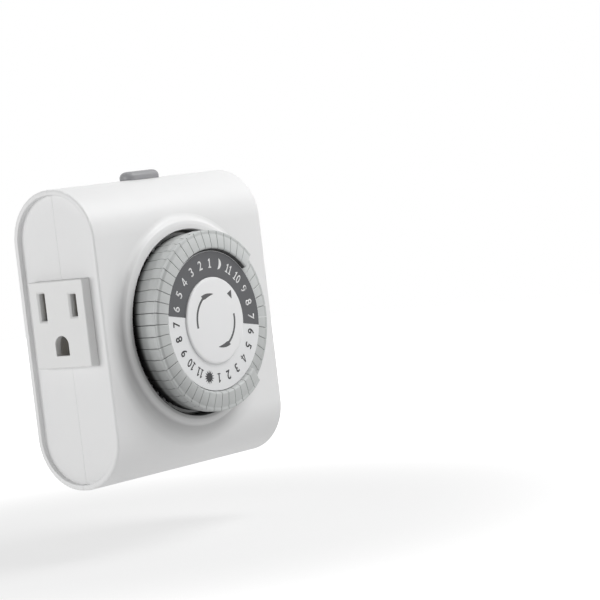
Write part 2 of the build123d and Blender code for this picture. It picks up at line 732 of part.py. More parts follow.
with BuildPart() as motor_pinion:
    with BuildSketch(facing(WHEEL_BACK_Y)):
        with Locations((MOTOR_X, MOTOR_Z)):
            add(gear_face(MOTOR_PINION_TEETH, MOTOR_ANGLE + 180 + 180 / MOTOR_PINION_TEETH))
    extrude(amount=GEAR_T)
    with BuildSketch(facing(MOTOR_FRONT_Y + 2 * MOTOR_WALL)):
        with Locations((MOTOR_X, MOTOR_Z)):
            Circle(SHAFT_R)
    extrude(amount=MOTOR_FRONT_Y + 2 * MOTOR_WALL - WHEEL_BACK_Y)
save(motor_pinion, "motor_pinion")


# ---------------------------------------------------------------- motor
MOTOR_BACK_Y = MOTOR_FRONT_Y + MOTOR_D
COIL_FRONT_Y = MOTOR_FRONT_Y + MOTOR_WALL
COIL_BACK_Y = MOTOR_BACK_Y - MOTOR_WALL

with BuildPart() as motor_can:
    with BuildSketch(facing(MOTOR_BACK_Y)):
        with Locations((MOTOR_X, MOTOR_Z)):
            Circle(MOTOR_R)
    extrude(amount=MOTOR_D)
    with BuildSketch(facing(COIL_BACK_Y)):
        with Locations((MOTOR_X, MOTOR_Z)):
            Circle(MOTOR_R - MOTOR_WALL)
    extrude(amount=COIL_BACK_Y - COIL_FRONT_Y, mode=Mode.SUBTRACT)
    with BuildSketch(facing(COIL_FRONT_Y)):
        with Locations((MOTOR_X, MOTOR_Z)):
            Circle(SHAFT_R + FIT)
    extrude(amount=MOTOR_WALL, mode=Mode.SUBTRACT)
    with BuildSketch(facing(MOTOR_BACK_Y)):
        with Locations((MOTOR_X, MOTOR_Z + COIL_R - LEAD_SLOT_DROP)):
            Rectangle(3 * LEAD_R + LEAD_SPACING, 3 * LEAD_R)
    extrude(amount=MOTOR_WALL, mode=Mode.SUBTRACT)
save(motor_can, "motor_can")

with BuildPart() as motor_coil:
    with BuildSketch(facing(COIL_BACK_Y)):
        with Locations((MOTOR_X, MOTOR_Z)):
            Circle(MOTOR_R - MOTOR_WALL)
            Circle(ROTOR_R + ROTOR_GAP, mode=Mode.SUBTRACT)
    extrude(amount=COIL_BACK_Y - COIL_FRONT_Y)
    with BuildSketch(facing(COIL_BACK_Y - COIL_FLANGE_T)):
        with Locations((MOTOR_X, MOTOR_Z)):
            Circle(MOTOR_R)
            Circle(COIL_R, mode=Mode.SUBTRACT)
    extrude(amount=COIL_BACK_Y - COIL_FRONT_Y - 2 * COIL_FLANGE_T, mode=Mode.SUBTRACT)
save(motor_coil, "motor_coil")

with BuildPart() as motor_rotor:
    with BuildSketch(facing(COIL_BACK_Y - FIT)):
        with Locations((MOTOR_X, MOTOR_Z)):
            Circle(ROTOR_R)
    extrude(amount=COIL_BACK_Y - COIL_FRONT_Y - ROTOR_SHORT)
save(motor_rotor, "motor_rotor")


# ---------------------------------------------------------------- switch
FINGER_TIP_Y = TAIL_PUSHED_Y + FINGER_GAP
LEAF_Y = FRONT_CONTACT_Y + STRIP_T / 2
LEAF_ROOT_Z = HOT_STRIP_Z + STRIP_H / 2 + FIT
LEAF_BACK_Y = LEAF_Y + LEAF_T
NOSE_TIP_Y = LEAF_Y - FIT
CONTACT_FRONT_Y = LEAF_BACK_Y + CONTACT_T
FIXED_CONTACT_Y = CONTACT_FRONT_Y + CONTACT_OPEN

with BuildPart() as follower_lever:
    with BuildSketch(side(LEVER_X - LEVER_W / 2)):
        with Locations(((LEVER_FRONT_Y + NOSE_TIP_Y) / 2, (LEVER_PIVOT_Z + NOSE_Z) / 2)):
            Rectangle(NOSE_TIP_Y - LEVER_FRONT_Y, LEVER_PIVOT_Z - NOSE_Z)
        with Locations(((FINGER_TIP_Y + LEVER_FRONT_Y) / 2, FINGER_Z)):
            Rectangle(LEVER_FRONT_Y - FINGER_TIP_Y, FINGER_W)
        with Locations((LEVER_PIVOT_Y, LEVER_PIVOT_Z)):
            Circle(LEVER_EYE_R)
            Circle(LEVER_PIN_R + RUNNING, mode=Mode.SUBTRACT)
    extrude(amount=LEVER_W)
save(follower_lever, "follower_lever")

with BuildPart() as lever_pin:
    with BuildSketch(side(LEVER_X - EAR_GAP - EAR_T)):
        with Locations((LEVER_PIVOT_Y, LEVER_PIVOT_Z)):
            Circle(LEVER_PIN_R)
    extrude(amount=2 * (EAR_GAP + EAR_T))
save(lever_pin, "lever_pin")

with BuildPart() as switch_leaf:
    with BuildSketch(facing(LEAF_BACK_Y)):
        with Locations((LEVER_X, (LEAF_ROOT_Z + LEAF_TOP_Z) / 2)):
            Rectangle(LEAF_W, LEAF_TOP_Z - LEAF_ROOT_Z)
    extrude(amount=LEAF_T)
save(switch_leaf, "switch_leaf")

with BuildPart() as moving_contact:
    with BuildSketch(facing(CONTACT_FRONT_Y)):
        with Locations((LEVER_X, CONTACT_Z)):
            Circle(CONTACT_R)
    extrude(amount=CONTACT_T)
save(moving_contact, "moving_contact")

with BuildPart() as fixed_contact:
    with BuildSketch(facing(FIXED_CONTACT_Y + CONTACT_T)):
        with Locations((LEVER_X, CONTACT_Z)):
            Circle(CONTACT_R)
    extrude(amount=CONTACT_T)
save(fixed_contact, "fixed_contact")

with BuildPart() as feed_bar:
    tab_y = FIXED_CONTACT_Y + CONTACT_T
    shelf_z = CONTACT_Z + FEED_W / 2
    with BuildSketch(facing(-FEED_DEPTH)):
        with Locations((SLOT_OFFSET, (SLOT_Z - FEED_SHORT + shelf_z) / 2)):
            Rectangle(FEED_W, shelf_z - SLOT_Z + FEED_SHORT)
        with Locations(((LEVER_X + SLOT_OFFSET) / 2, shelf_z - FEED_W / 2)):
            Rectangle(SLOT_OFFSET - LEVER_X + FEED_W, FEED_W)
    extrude(amount=STRIP_T)
    with BuildSketch(side(LEVER_X - FEED_W / 2)):
        with BuildLine():
            Polyline(
                (-FEED_DEPTH, shelf_z),
                (-FEED_DEPTH, shelf_z + STRIP_T),
                (tab_y, shelf_z + STRIP_T),
                (tab_y, CONTACT_Z - FEED_W / 2),
                (tab_y + STRIP_T, CONTACT_Z - FEED_W / 2),
                (tab_y + STRIP_T, shelf_z),
                close=True,
            )
        make_face()
    extrude(amount=FEED_W)
save(feed_bar, "feed_bar")


# ---------------------------------------------------------------- override slide
with BuildPart() as override_slide:
    with BuildSketch(Plane.XY.offset(HALF_H + KNOB_GAP)):
        with Locations((KNOB_X, MID_Y)):
            RectangleRounded(KNOB_W, KNOB_D, KNOB_R)
    extrude(amount=KNOB_RISE)
    crown = override_slide.faces().sort_by(Axis.Z)[-1]
    fillet(crown.edges(), radius=KNOB_CROWN_R)
    with BuildSketch(Plane.XY.offset(HALF_H - WALL - FIT - FOOT_T)):
        with Locations((KNOB_X, MID_Y)):
            Rectangle(STEM_W, STEM_D)
    extrude(amount=WALL + FIT + FOOT_T + KNOB_GAP)
    with BuildSketch(Plane.XY.offset(HALF_H - WALL - FIT - FOOT_T)):
        with Locations((KNOB_X, MID_Y)):
            Rectangle(FOOT_W, FOOT_D)
    extrude(amount=FOOT_T)
save(override_slide, "override_slide")


# ---------------------------------------------------------------- motor leads
def lead(name, points):
    """Insulated motor lead along straight runs joined by arcs as large as the runs allow."""
    runs = [Vector(*b) - Vector(*a) for a, b in zip(points, points[1:])]
    radii = []
    for first, second in zip(runs, runs[1:]):
        half_turn = radians(first.get_angle(second)) / 2
        radii.append(BEND_SHARE * min(first.length, second.length) / tan(half_turn))
    print(name, "radii", [round(radius, 1) for radius in radii])
    with BuildPart() as wire:
        with BuildLine() as route:
            FilletPolyline(*points, radius=radii)
        with BuildSketch(Plane(origin=points[0], z_dir=runs[0])):
            Circle(LEAD_R)
        sweep()
    save(wire, name)


LEAD_Z = MOTOR_Z + COIL_R - LEAD_SLOT_DROP
LEAD_END_Z = SLOT_Z - BLADE_H / 2
NEUTRAL_LEAD_X = MOTOR_X - LEAD_SPACING / 2
HOT_LEAD_X = MOTOR_X + LEAD_SPACING / 2
NEUTRAL_LEAD_Y = -FEED_DEPTH - NEUTRAL_LEAD_BACK
HOT_LEAD_Y = -FEED_DEPTH - STRIP_T / 2

lead(
    "motor_lead_neutral",
    [
        (NEUTRAL_LEAD_X, COIL_BACK_Y, LEAD_Z),
        (NEUTRAL_LEAD_X, NEUTRAL_LEAD_Y, LEAD_Z),
        (MOTOR_X - NEUTRAL_SWEEP, NEUTRAL_LEAD_Y, MOTOR_Z + MOTOR_R),
        (-SLOT_OFFSET, NEUTRAL_LEAD_Y, LEAD_END_Z - NEUTRAL_RISE),
        (-SLOT_OFFSET, NEUTRAL_LEAD_Y, LEAD_END_Z),
    ],
)
lead(
    "motor_lead_hot",
    [
        (HOT_LEAD_X, COIL_BACK_Y, LEAD_Z),
        (HOT_LEAD_X, HOT_LEAD_Y, LEAD_Z),
        (SLOT_OFFSET + HOT_SWEEP, HOT_LEAD_Y, SLOT_Z - FEED_SHORT - HOT_KNEE_DROP),
        (SLOT_OFFSET, HOT_LEAD_Y, SLOT_Z - FEED_SHORT - HOT_RISE),
        (SLOT_OFFSET, HOT_LEAD_Y, SLOT_Z - FEED_SHORT),
    ],
)
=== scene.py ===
from math import asin, atan2, cos, pi, radians, sin

import bmesh
import bpy
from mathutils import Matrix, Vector


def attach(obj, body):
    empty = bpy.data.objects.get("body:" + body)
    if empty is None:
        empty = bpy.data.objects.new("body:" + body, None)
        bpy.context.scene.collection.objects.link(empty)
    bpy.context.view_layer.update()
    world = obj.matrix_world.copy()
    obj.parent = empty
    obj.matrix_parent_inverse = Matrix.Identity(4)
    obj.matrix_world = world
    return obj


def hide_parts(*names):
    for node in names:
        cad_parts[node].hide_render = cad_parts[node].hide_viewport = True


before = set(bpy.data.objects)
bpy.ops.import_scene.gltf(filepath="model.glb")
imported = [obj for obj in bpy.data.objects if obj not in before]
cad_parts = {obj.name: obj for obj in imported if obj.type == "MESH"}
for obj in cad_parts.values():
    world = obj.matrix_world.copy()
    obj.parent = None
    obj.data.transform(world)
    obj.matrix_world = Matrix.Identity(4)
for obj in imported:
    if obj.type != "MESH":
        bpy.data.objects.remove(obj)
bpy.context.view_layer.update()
scene = bpy.context.scene
scene.view_settings.view_transform = "Standard"

# ------------------------------------------------------------
# The studio: a long lens a little above the dial and to its left, a white floor
# below the timer, and four soft boxes: over the front, above, to the left, in front.

SENSOR_W, LENS_LENGTH = 36.0, 155.99
CAMERA_PLACE = (-0.602989, -0.557075, 0.045885)
CAMERA_TURN = (86.8914, 6.7262, -51.8088)

lens = bpy.data.cameras.new("camera")
lens.sensor_width = SENSOR_W
lens.lens = LENS_LENGTH
lens.clip_start = 0.01
camera = bpy.data.objects.new("camera", lens)
camera.location = CAMERA_PLACE
camera.rotation_euler = [radians(turn) for turn in CAMERA_TURN]
scene.collection.objects.link(camera)
scene.camera = camera


class Tone:
    """A value or colour on its way through a finish's nodes. Sums written on it become nodes."""

    def __init__(self, tree, socket=None):
        self.tree = tree
        self.socket = socket

    def node(self, kind, settings, sockets, output=0):
        """Adds any node: its settings first, then its sockets' values or links."""
        made = self.tree.nodes.new(kind)
        for name, value in settings.items():
            if name == "stops":
                ramp = made.color_ramp.elements
                while len(ramp) < len(value):
                    ramp.new(1.0)
                for stop, (position, level) in zip(ramp, value):
                    stop.position = position
                    stop.color = (level, level, level, 1.0)
            else:
                setattr(made, name, value)
        for name, value in sockets.items():
            if isinstance(value, Tone):
                self.tree.links.new(value.socket, made.inputs[name])
            else:
                made.inputs[name].default_value = value
        return Tone(self.tree, made.outputs[output] if made.outputs else None)

    def sum(self, operation, first, second):
        """Adds one Math node."""
        return self.node("ShaderNodeMath", {"operation": operation}, {0: first, 1: second})

    def ramp(self, start, end, low=0.0, high=1.0, curve="LINEAR"):
        """Runs from a low level to a high one while this value goes from its start to its end."""
        return self.node("ShaderNodeMapRange", {"clamp": True, "interpolation_type": curve}, {
            "Value": self, "From Min": start, "From Max": end, "To Min": low, "To Max": high})

    def most(self, other):
        """The larger of this value and another."""
        return self.sum("MAXIMUM", self, other)

    def axis(self, name):
        """One of a place's three coordinates."""
        return self.node("ShaderNodeSeparateXYZ", {}, {"Vector": self}, name)

    def __add__(self, other):
        return self.sum("ADD", self, other)

    def __radd__(self, other):
        return self.sum("ADD", other, self)

    def __sub__(self, other):
        return self.sum("SUBTRACT", self, other)

    def __rsub__(self, other):
        return self.sum("SUBTRACT", other, self)

    def __mul__(self, other):
        return self.sum("MULTIPLY", self, other)

    def __rmul__(self, other):
        return self.sum("MULTIPLY", other, self)


def blank_finish(name):
    """An empty material and the start of its nodes."""
    finish = bpy.data.materials.new(name)
    finish.use_nodes = True
    finish.node_tree.nodes.clear()
    return finish, Tone(finish.node_tree)


sky = bpy.data.worlds.new("studio_air")
scene.world = sky
sky.use_nodes = True
sky.node_tree.nodes.clear()
air = Tone(sky.node_tree)
seen = air.node("ShaderNodeLightPath", {}, {}, "Is Camera Ray")
mirrored = air.node("ShaderNodeLightPath", {}, {}, "Is Glossy Ray")
through = air.node("ShaderNodeLightPath", {}, {}, "Is Transmission Ray")
AIR_LEVEL = 0.295
direct = air.node("ShaderNodeMath", {"operation": "ADD", "use_clamp": True}, {0: seen + mirrored, 1: through})
glow = air.node("ShaderNodeBackground", {}, {
    "Color": (1.0, 1.0, 1.0, 1.0), "Strength": AIR_LEVEL + direct * (1.0 - AIR_LEVEL)})
air.node("ShaderNodeOutputWorld", {}, {"Surface": glow})


def soft_box(name, place, width, power):
    """A square soft box that looks at the origin."""
    lamp = bpy.data.lights.new(name, "AREA")
    lamp.shape = "SQUARE"
    lamp.size = width
    lamp.energy = power
    box = bpy.data.objects.new(name, lamp)
    box.location = place
    box.rotation_euler = (-Vector(place)).to_track_quat("-Z", "Y").to_euler()
    scene.collection.objects.link(box)


SOFT_BOXES = (("soft_box_over", (0.20, -0.28, 0.42), 0.34, 2.02),
              ("soft_box_top", (0.06, 0.08, 0.50), 0.20, 0.16),
              ("soft_box_left", (-0.95, 0.30, 0.05), 0.6, 5.8),
              ("soft_box_front", (0.55, -0.90, -0.02), 0.4, 1.1))
for box in SOFT_BOXES:
    soft_box(*box)

FLOOR_Z, FLOOR_HALF = -0.066, 0.85
FLOOR_GREY, FLOOR_LIFT = 0.25, 0.50
FADE_NEAR, FADE_FAR, FADE_LOW, FADE_HIGH = 0.10, 0.30, 0.17, 0.78
floor_mesh = bpy.data.meshes.new("floor")
floor_mesh.from_pydata(
    [(x * FLOOR_HALF, y * FLOOR_HALF, FLOOR_Z) for x, y in ((-1, -1), (1, -1), (1, 1), (-1, 1))],
    [], [(0, 1, 2, 3)])
floor = bpy.data.objects.new("floor", floor_mesh)
scene.collection.objects.link(floor)
paper, tone = blank_finish("white_paper")
sheet = tone.node("ShaderNodeBsdfDiffuse", {}, {"Color": (FLOOR_GREY, FLOOR_GREY, FLOOR_GREY, 1.0)})
seen = tone.node("ShaderNodeLightPath", {}, {}, "Is Camera Ray")
away = tone.node("ShaderNodeVectorMath", {"operation": "LENGTH"}, {
    0: tone.node("ShaderNodeTexCoord", {}, {}, "Object")}, "Value")
fade = away.ramp(FADE_NEAR, FADE_FAR, FADE_LOW, FADE_HIGH, "SMOOTHSTEP")
lift = tone.node("ShaderNodeEmission", {}, {"Strength": seen * fade + FLOOR_LIFT})
tone.node("ShaderNodeOutputMaterial", {}, {
    "Surface": tone.node("ShaderNodeAddShader", {}, {0: sheet, 1: lift})})
floor_mesh.materials.append(paper)

# ------------------------------------------------------------
# The rear half of the case: a satin white ABS moulding, half of a round-edged
# box, with a sunk panel at each end and four bosses that take the case screws.

CASE_W, CASE_H, CASE_D, CASE_R = 0.0784, 0.0910, 0.0330, 0.0160
WALL, RIM, RECESS = 0.0020, 0.0017, 0.0017
MID_Y = -CASE_D / 2
SEAM_HALF = 0.000025
SEAM_CHAMFER = 0.00012
RIM_ROUND = 0.00075
LIP_ROUND, LIP_MIDDLE = 0.00030, 0.3
PANEL_X = CASE_W / 2 - RECESS
INNER_X = PANEL_X - WALL
CORNER_STEPS, EDGE_STEPS = 44, 4


def new_piece(name, shape):
    """A mesh object in the scene from a bmesh."""
    mesh = bpy.data.meshes.new(name)
    shape.to_mesh(mesh)
    shape.free()
    piece = bpy.data.objects.new(name, mesh)
    scene.collection.objects.link(piece)
    return piece


def as_made(piece):
    """The piece's mesh with its modifiers in it."""
    bpy.context.view_layer.update()
    return bpy.data.meshes.new_from_object(piece.evaluated_get(bpy.context.evaluated_depsgraph_get()))


def case_half(name, way):
    """A hollow half of the case; way is -1 for the half in front and 1 for the half behind."""
    seam = MID_Y + way * SEAM_HALF

    def outline(inset):
        """The half's outline as seen from an end, drawn in by an inset."""
        radius = CASE_R - inset
        half_h = CASE_H / 2 - inset
        flat = CASE_D / 2 - CASE_R
        upper = [(seam, half_h - SEAM_CHAMFER), (seam + way * SEAM_CHAMFER, half_h)]
        for step in range(CORNER_STEPS + 1):
            turn = pi / 2 * step / CORNER_STEPS
            upper.append((MID_Y + way * (flat + radius * sin(turn)), half_h - radius + radius * cos(turn)))
        return upper + [(y, -z) for y, z in reversed(upper)]

    def round_edge(x, inset, dx, dinset, radius):
        """Quarter round from one face of the moulding to the next."""
        turns = [pi / 2 * step / EDGE_STEPS for step in range(EDGE_STEPS + 1)]
        return [(x + dx * radius * (1 - cos(turn)), inset + dinset * radius * (1 - sin(turn)))
                for turn in turns]

    half_w = CASE_W / 2
    end = [(PANEL_X, RIM + LIP_ROUND)]
    end += [(PANEL_X + LIP_ROUND * LIP_MIDDLE, RIM + LIP_ROUND * LIP_MIDDLE), (PANEL_X + LIP_ROUND, RIM)]
    end += reversed(round_edge(half_w, RIM, -1, -1, LIP_ROUND))
    end += round_edge(half_w, 0.0, -1, 1, RIM_ROUND)
    stations = [(-x, inset) for x, inset in end] + [(x, inset) for x, inset in reversed(end)]
    shape = bmesh.new()

    for sections in (stations, [(-INNER_X, WALL), (INNER_X, WALL)]):
        rows = [[shape.verts.new((x, y, z)) for y, z in outline(inset)] for x, inset in sections]
        for left, right in zip(rows, rows[1:]):
            for k in range(len(left) - 1):
                shape.faces.new((left[k], left[k + 1], right[k + 1], right[k]))
        shape.faces.new(rows[0])
        shape.faces.new(rows[-1])
    bmesh.ops.triangle_fill(
        shape, use_beauty=True, use_dissolve=False,
        edges=[edge for edge in shape.edges if edge.is_boundary])
    bmesh.ops.recalc_face_normals(shape, faces=shape.faces)
    return new_piece(name, shape)


def turned(name, profile, x=0.0, z=0.0, steps=48):
    """A shape turned about an axis along Y, from a closed profile of (radius, y)."""
    shape = bmesh.new()
    rings = []
    for radius, y in profile:
        if radius < 1e-7:
            rings.append([shape.verts.new((x, y, z))])
        else:
            turns = [2 * pi * k / steps for k in range(steps)]
            rings.append([shape.verts.new((x + radius * cos(turn), y, z + radius * sin(turn)))
                          for turn in turns])
    closed = rings[1:] + rings[:1] if len(rings[0]) > 1 else rings[1:]
    for near, far in zip(rings, closed):
        for k in range(steps):
            corners = [near[k % len(near)], near[(k + 1) % len(near)],
                       far[(k + 1) % len(far)], far[k % len(far)]]
            if len(near) == 1:
                corners = corners[1:]
            elif len(far) == 1:
                corners = corners[:3]
            shape.faces.new(corners)
    bmesh.ops.recalc_face_normals(shape, faces=shape.faces)
    return new_piece(name, shape)


def block(name, low, high):
    """A straight-sided tool between two corners."""
    shape = bmesh.new()
    bmesh.ops.create_cube(shape, size=1.0)
    for vertex in shape.verts:
        vertex.co = [a + (b - a) * (t + 0.5) for a, b, t in zip(low, high, vertex.co)]
    return new_piece(name, shape)


def work(piece, tool, operation):
    """Joins a tool's shape to the piece, or cuts it away, and drops the tool."""
    step = piece.modifiers.new("work", "BOOLEAN")
    step.operation = operation
    step.solver = "EXACT"
    step.object = tool
    piece.data = as_made(piece)
    piece.modifiers.clear()
    bpy.data.objects.remove(tool)


def smooth(piece, angle=32.0):
    """Merges doubles, shades curved runs as curves and keeps edges crisp."""
    shape = bmesh.new()
    shape.from_mesh(piece.data)
    bmesh.ops.remove_doubles(shape, verts=shape.verts, dist=1e-6)
    bmesh.ops.dissolve_degenerate(shape, edges=shape.edges, dist=1e-7)
    shape.to_mesh(piece.data)
    shape.free()
    for face in piece.data.polygons:
        face.use_smooth = True
    piece.data.set_sharp_from_angle(angle=radians(angle))
    weights = piece.modifiers.new("even_shading", "WEIGHTED_NORMAL")
    weights.keep_sharp = True
    weights.weight = 80


def wear(piece, finish, body, slot, *nodes):
    """Gives a made piece its finish and its body, and hides the parts that it stands for."""
    piece.data.materials.clear()
    piece.data.materials.append(finish)
    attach(piece, body)
    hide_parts(*nodes)


SKIN_PITCH = 0.00032


def moulded_plastic(name, colour, roughness, skin):
    """Moulded plastic: a fine eroded skin from the tool, uneven gloss and a faint flow tint."""
    finish, tone = blank_finish(name)
    place = tone.node("ShaderNodeTexCoord", {}, {}, "Object")
    flow = tone.node("ShaderNodeTexNoise", {}, {
        "Vector": place, "Scale": 38.0, "Detail": 3.0, "Roughness": 0.55})
    patch = tone.node("ShaderNodeTexNoise", {}, {
        "Vector": place, "Scale": 210.0, "Detail": 4.0, "Roughness": 0.6})
    grain = tone.node("ShaderNodeTexNoise", {}, {
        "Vector": place, "Scale": 1.0 / SKIN_PITCH, "Detail": 2.0, "Roughness": 0.5})
    tint = tone.node("ShaderNodeMix", {"data_type": "RGBA"}, {
        0: flow * 0.7 + patch * 0.3,
        6: (colour[0] * 0.965, colour[1] * 0.968, colour[2] * 0.972, 1.0),
        7: (min(colour[0] * 1.03, 1.0), min(colour[1] * 1.03, 1.0), min(colour[2] * 1.028, 1.0), 1.0)}, 2)
    relief = tone.node("ShaderNodeBump", {}, {
        "Strength": skin, "Distance": 0.00004, "Height": grain + patch * 0.4})
    shell = tone.node("ShaderNodeBsdfPrincipled", {}, {
        "Base Color": tint, "Roughness": roughness - 0.06 + patch * 0.08 + grain * 0.04, "Normal": relief,
        "IOR": 1.5})
    tone.node("ShaderNodeOutputMaterial", {}, {"Surface": shell})
    return finish


SCREW_X, SCREW_Z = 0.0330, 0.0280
SCREW_PLACES = [(x, z) for x in (-SCREW_X, SCREW_X) for z in (-SCREW_Z, SCREW_Z)]
HEAD_HOLE_R, HEAD_HOLE_DEPTH, FLARE_W, FLARE_DEPTH, FLARE_OUT = 0.0024, 0.0025, 0.0004, 0.0003, 0.0001
SCREW_HOLE_R = 0.0014
BOSS_R, BOSS_ROOT, BOSS_GAP = 0.0030, 0.0010, 0.0001
PRONG_X, PRONG_Z, PIN_Z = 0.00635, 0.01055, -0.00135
PRONG_SLOT_W, PRONG_SLOT_H = 0.00155, 0.0064
PIN_HOLE_R, PIN_RELIEF_R, PIN_RELIEF_DEPTH = 0.002025, 0.0026, 0.0006
BACK_CUT_FROM, BACK_CUT_TO = -0.008, 0.001
PAD_LOW, PAD_HIGH = (-0.01135, -0.0050, -0.00835), (0.01135, -0.0015, 0.01755)
WINDOW_FROM_X, WINDOW_TO_X = 0.034, 0.040
WINDOW_HALF_D, WINDOW_LOW, WINDOW_HIGH = 0.01115, -0.0081, 0.0183
SLOT_LOW, SLOT_HIGH, SLOT_HALF_D = -0.0034, 0.0044, 0.0012
SLOT_FROM_Z, SLOT_TO_Z = 0.040, 0.047

white_abs = moulded_plastic("white_abs", (0.80, 0.80, 0.80), 0.40, 0.10)

rear = case_half("rear_case", 1)
for x, z in SCREW_PLACES:
    work(rear, turned("boss", [
        (0.0, MID_Y + BOSS_GAP), (BOSS_R, MID_Y + BOSS_GAP),
        (BOSS_R, -BOSS_ROOT), (0.0, -BOSS_ROOT)], x, z), "UNION")
work(rear, block("pad", PAD_LOW, PAD_HIGH), "UNION")
for x, z in SCREW_PLACES:
    work(rear, turned("head_hole", [
        (0.0, -CASE_D), (SCREW_HOLE_R, -CASE_D), (SCREW_HOLE_R, -HEAD_HOLE_DEPTH),
        (HEAD_HOLE_R, -HEAD_HOLE_DEPTH), (HEAD_HOLE_R, -FLARE_DEPTH), (HEAD_HOLE_R + FLARE_W, FLARE_OUT),
        (0.0, FLARE_OUT)], x, z), "DIFFERENCE")
for x in (-PRONG_X, PRONG_X):
    work(rear, block("prong_slot", (x - PRONG_SLOT_W / 2, BACK_CUT_FROM, PRONG_Z - PRONG_SLOT_H / 2),
                     (x + PRONG_SLOT_W / 2, BACK_CUT_TO, PRONG_Z + PRONG_SLOT_H / 2)), "DIFFERENCE")
work(rear, turned("pin_hole", [
    (0.0, BACK_CUT_FROM), (PIN_HOLE_R, BACK_CUT_FROM), (PIN_HOLE_R, -PIN_RELIEF_DEPTH),
    (PIN_RELIEF_R, -PIN_RELIEF_DEPTH), (PIN_RELIEF_R, BACK_CUT_TO),
    (0.0, BACK_CUT_TO)], 0.0, PIN_Z), "DIFFERENCE")


def open_sides(half):
    """Cuts the two outlet windows and the slot of the slide, which both halves share."""
    for x in (-1, 1):
        ends = sorted((x * WINDOW_FROM_X, x * WINDOW_TO_X))
        work(half, block("window", (ends[0], MID_Y - WINDOW_HALF_D, WINDOW_LOW),
                         (ends[1], MID_Y + WINDOW_HALF_D, WINDOW_HIGH)), "DIFFERENCE")
    work(half, block("slide_slot", (SLOT_LOW, MID_Y - SLOT_HALF_D, SLOT_FROM_Z),
                     (SLOT_HIGH, MID_Y + SLOT_HALF_D, SLOT_TO_Z)), "DIFFERENCE")


open_sides(rear)
smooth(rear)
wear(rear, white_abs, "case", "case_plastic", "rear_shell")

# ------------------------------------------------------------
# The prongs: two flat blades and a round ground pin of drawn brass, with
# tapered tips, pressed into the rear case from inside.

FLAT_WITHIN, SHARP_OVER, EASE_OVER = 0.6, 30.0, 32.0


def eased(name, width, *nodes, segments=2):
    """A copy of a part's own solids with its sharp edges eased, as moulding or tumbling leaves them."""
    shape = bmesh.new()
    for node in nodes:
        shape.from_mesh(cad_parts[node].data)
    bmesh.ops.remove_doubles(shape, verts=shape.verts, dist=2e-6)
    bmesh.ops.dissolve_limit(
        shape, angle_limit=radians(FLAT_WITHIN), use_dissolve_boundaries=False,
        verts=shape.verts, edges=shape.edges, delimit={"NORMAL"})
    piece = new_piece(name, shape)
    for face in piece.data.polygons:
        face.use_smooth = True
    piece.data.set_sharp_from_angle(angle=radians(SHARP_OVER))
    edge = piece.modifiers.new("eased_edges", "BEVEL")
    edge.width = width
    edge.segments = segments
    edge.limit_method = "ANGLE"
    edge.angle_limit = radians(EASE_OVER)
    edge.use_clamp_overlap = True
    edge.harden_normals = False
    weights = piece.modifiers.new("even_shading", "WEIGHTED_NORMAL")
    weights.keep_sharp = False
    weights.weight = 80
    return piece


def drawn_metal(name, colour, roughness, along, stain=0.10):
    """Drawn or rolled metal: fine lines along one way, faint stains, a thin tarnish."""
    finish, tone = blank_finish(name)
    place = tone.node("ShaderNodeTexCoord", {}, {}, "Object")
    pulled = tone.node("ShaderNodeMapping", {}, {
        "Vector": place, "Scale": tuple(90.0 if axis == along else 5200.0 for axis in "XYZ")})
    lines = tone.node("ShaderNodeTexNoise", {}, {
        "Vector": pulled, "Scale": 1.0, "Detail": 3.0, "Roughness": 0.6})
    cloud = tone.node("ShaderNodeTexNoise", {}, {
        "Vector": place, "Scale": 420.0, "Detail": 5.0, "Roughness": 0.62})
    tint = tone.node("ShaderNodeMix", {"data_type": "RGBA"}, {
        0: cloud * 0.75 + lines * 0.25,
        6: tuple(c * (1.0 - stain * 1.6) for c in colour) + (1.0,),
        7: tuple(min(c * (1.0 + stain * 0.6), 1.0) for c in colour) + (1.0,)}, 2)
    relief = tone.node("ShaderNodeBump", {}, {"Strength": 0.16, "Distance": 0.00002, "Height": lines})
    metal = tone.node("ShaderNodeBsdfPrincipled", {}, {
        "Base Color": tint, "Metallic": 1.0, "Roughness": roughness - 0.08 + cloud * 0.14 + lines * 0.05,
        "Normal": relief})
    tone.node("ShaderNodeOutputMaterial", {}, {"Surface": metal})
    return finish


PRONG_EASE = 0.00018
prong_brass = drawn_metal("prong_brass", (0.78, 0.57, 0.27), 0.30, "Y")
for prong in ("blade_neutral", "blade_hot", "ground_pin"):
    wear(eased("prong_" + prong, PRONG_EASE, prong), prong_brass, "case", "prong_brass", prong)

# ------------------------------------------------------------
# The case screws: four zinc-plated steel screws with cross heads, driven from
# behind through the bosses of the rear half into those of the front half.

SCREW_EASE = 0.00012
screw_steel = drawn_metal("screw_steel", (0.62, 0.62, 0.60), 0.34, "Z", 0.08)
wear(eased("case_screw_heads", SCREW_EASE, "case_screws"), screw_steel, "case", "screw_steel", "case_screws")

# ------------------------------------------------------------
# Inside the rear half: stamped brass strips that link the prongs to the spring
# clips of both outlets, with silver contacts on the feed bar and the leaf.


def dress(node, finish):
    """Gives a part's own solid its finish; its shape stays as it is."""
    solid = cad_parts[node]
    if not solid.material_slots:
        solid.data.materials.append(finish)
    for place in solid.material_slots:
        place.material = finish


strip_brass = drawn_metal("strip_brass", (0.72, 0.52, 0.23), 0.36, "X", 0.14)
for strip in ("neutral_bus", "switched_bus", "ground_bus", "feed_bar"):
    dress(strip, strip_brass)
contact_silver = drawn_metal("contact_silver", (0.82, 0.81, 0.78), 0.28, "X", 0.08)
dress("fixed_contact", contact_silver)
dress("moving_contact", contact_silver)
dress("switch_leaf", drawn_metal("leaf_bronze", (0.66, 0.40, 0.21), 0.32, "Z", 0.10))

# ------------------------------------------------------------
# The outlets: blocks of white moulded plastic, proud of the sunk end panels,
# with two slots, a D-shaped ground hole and chamfered mouths.

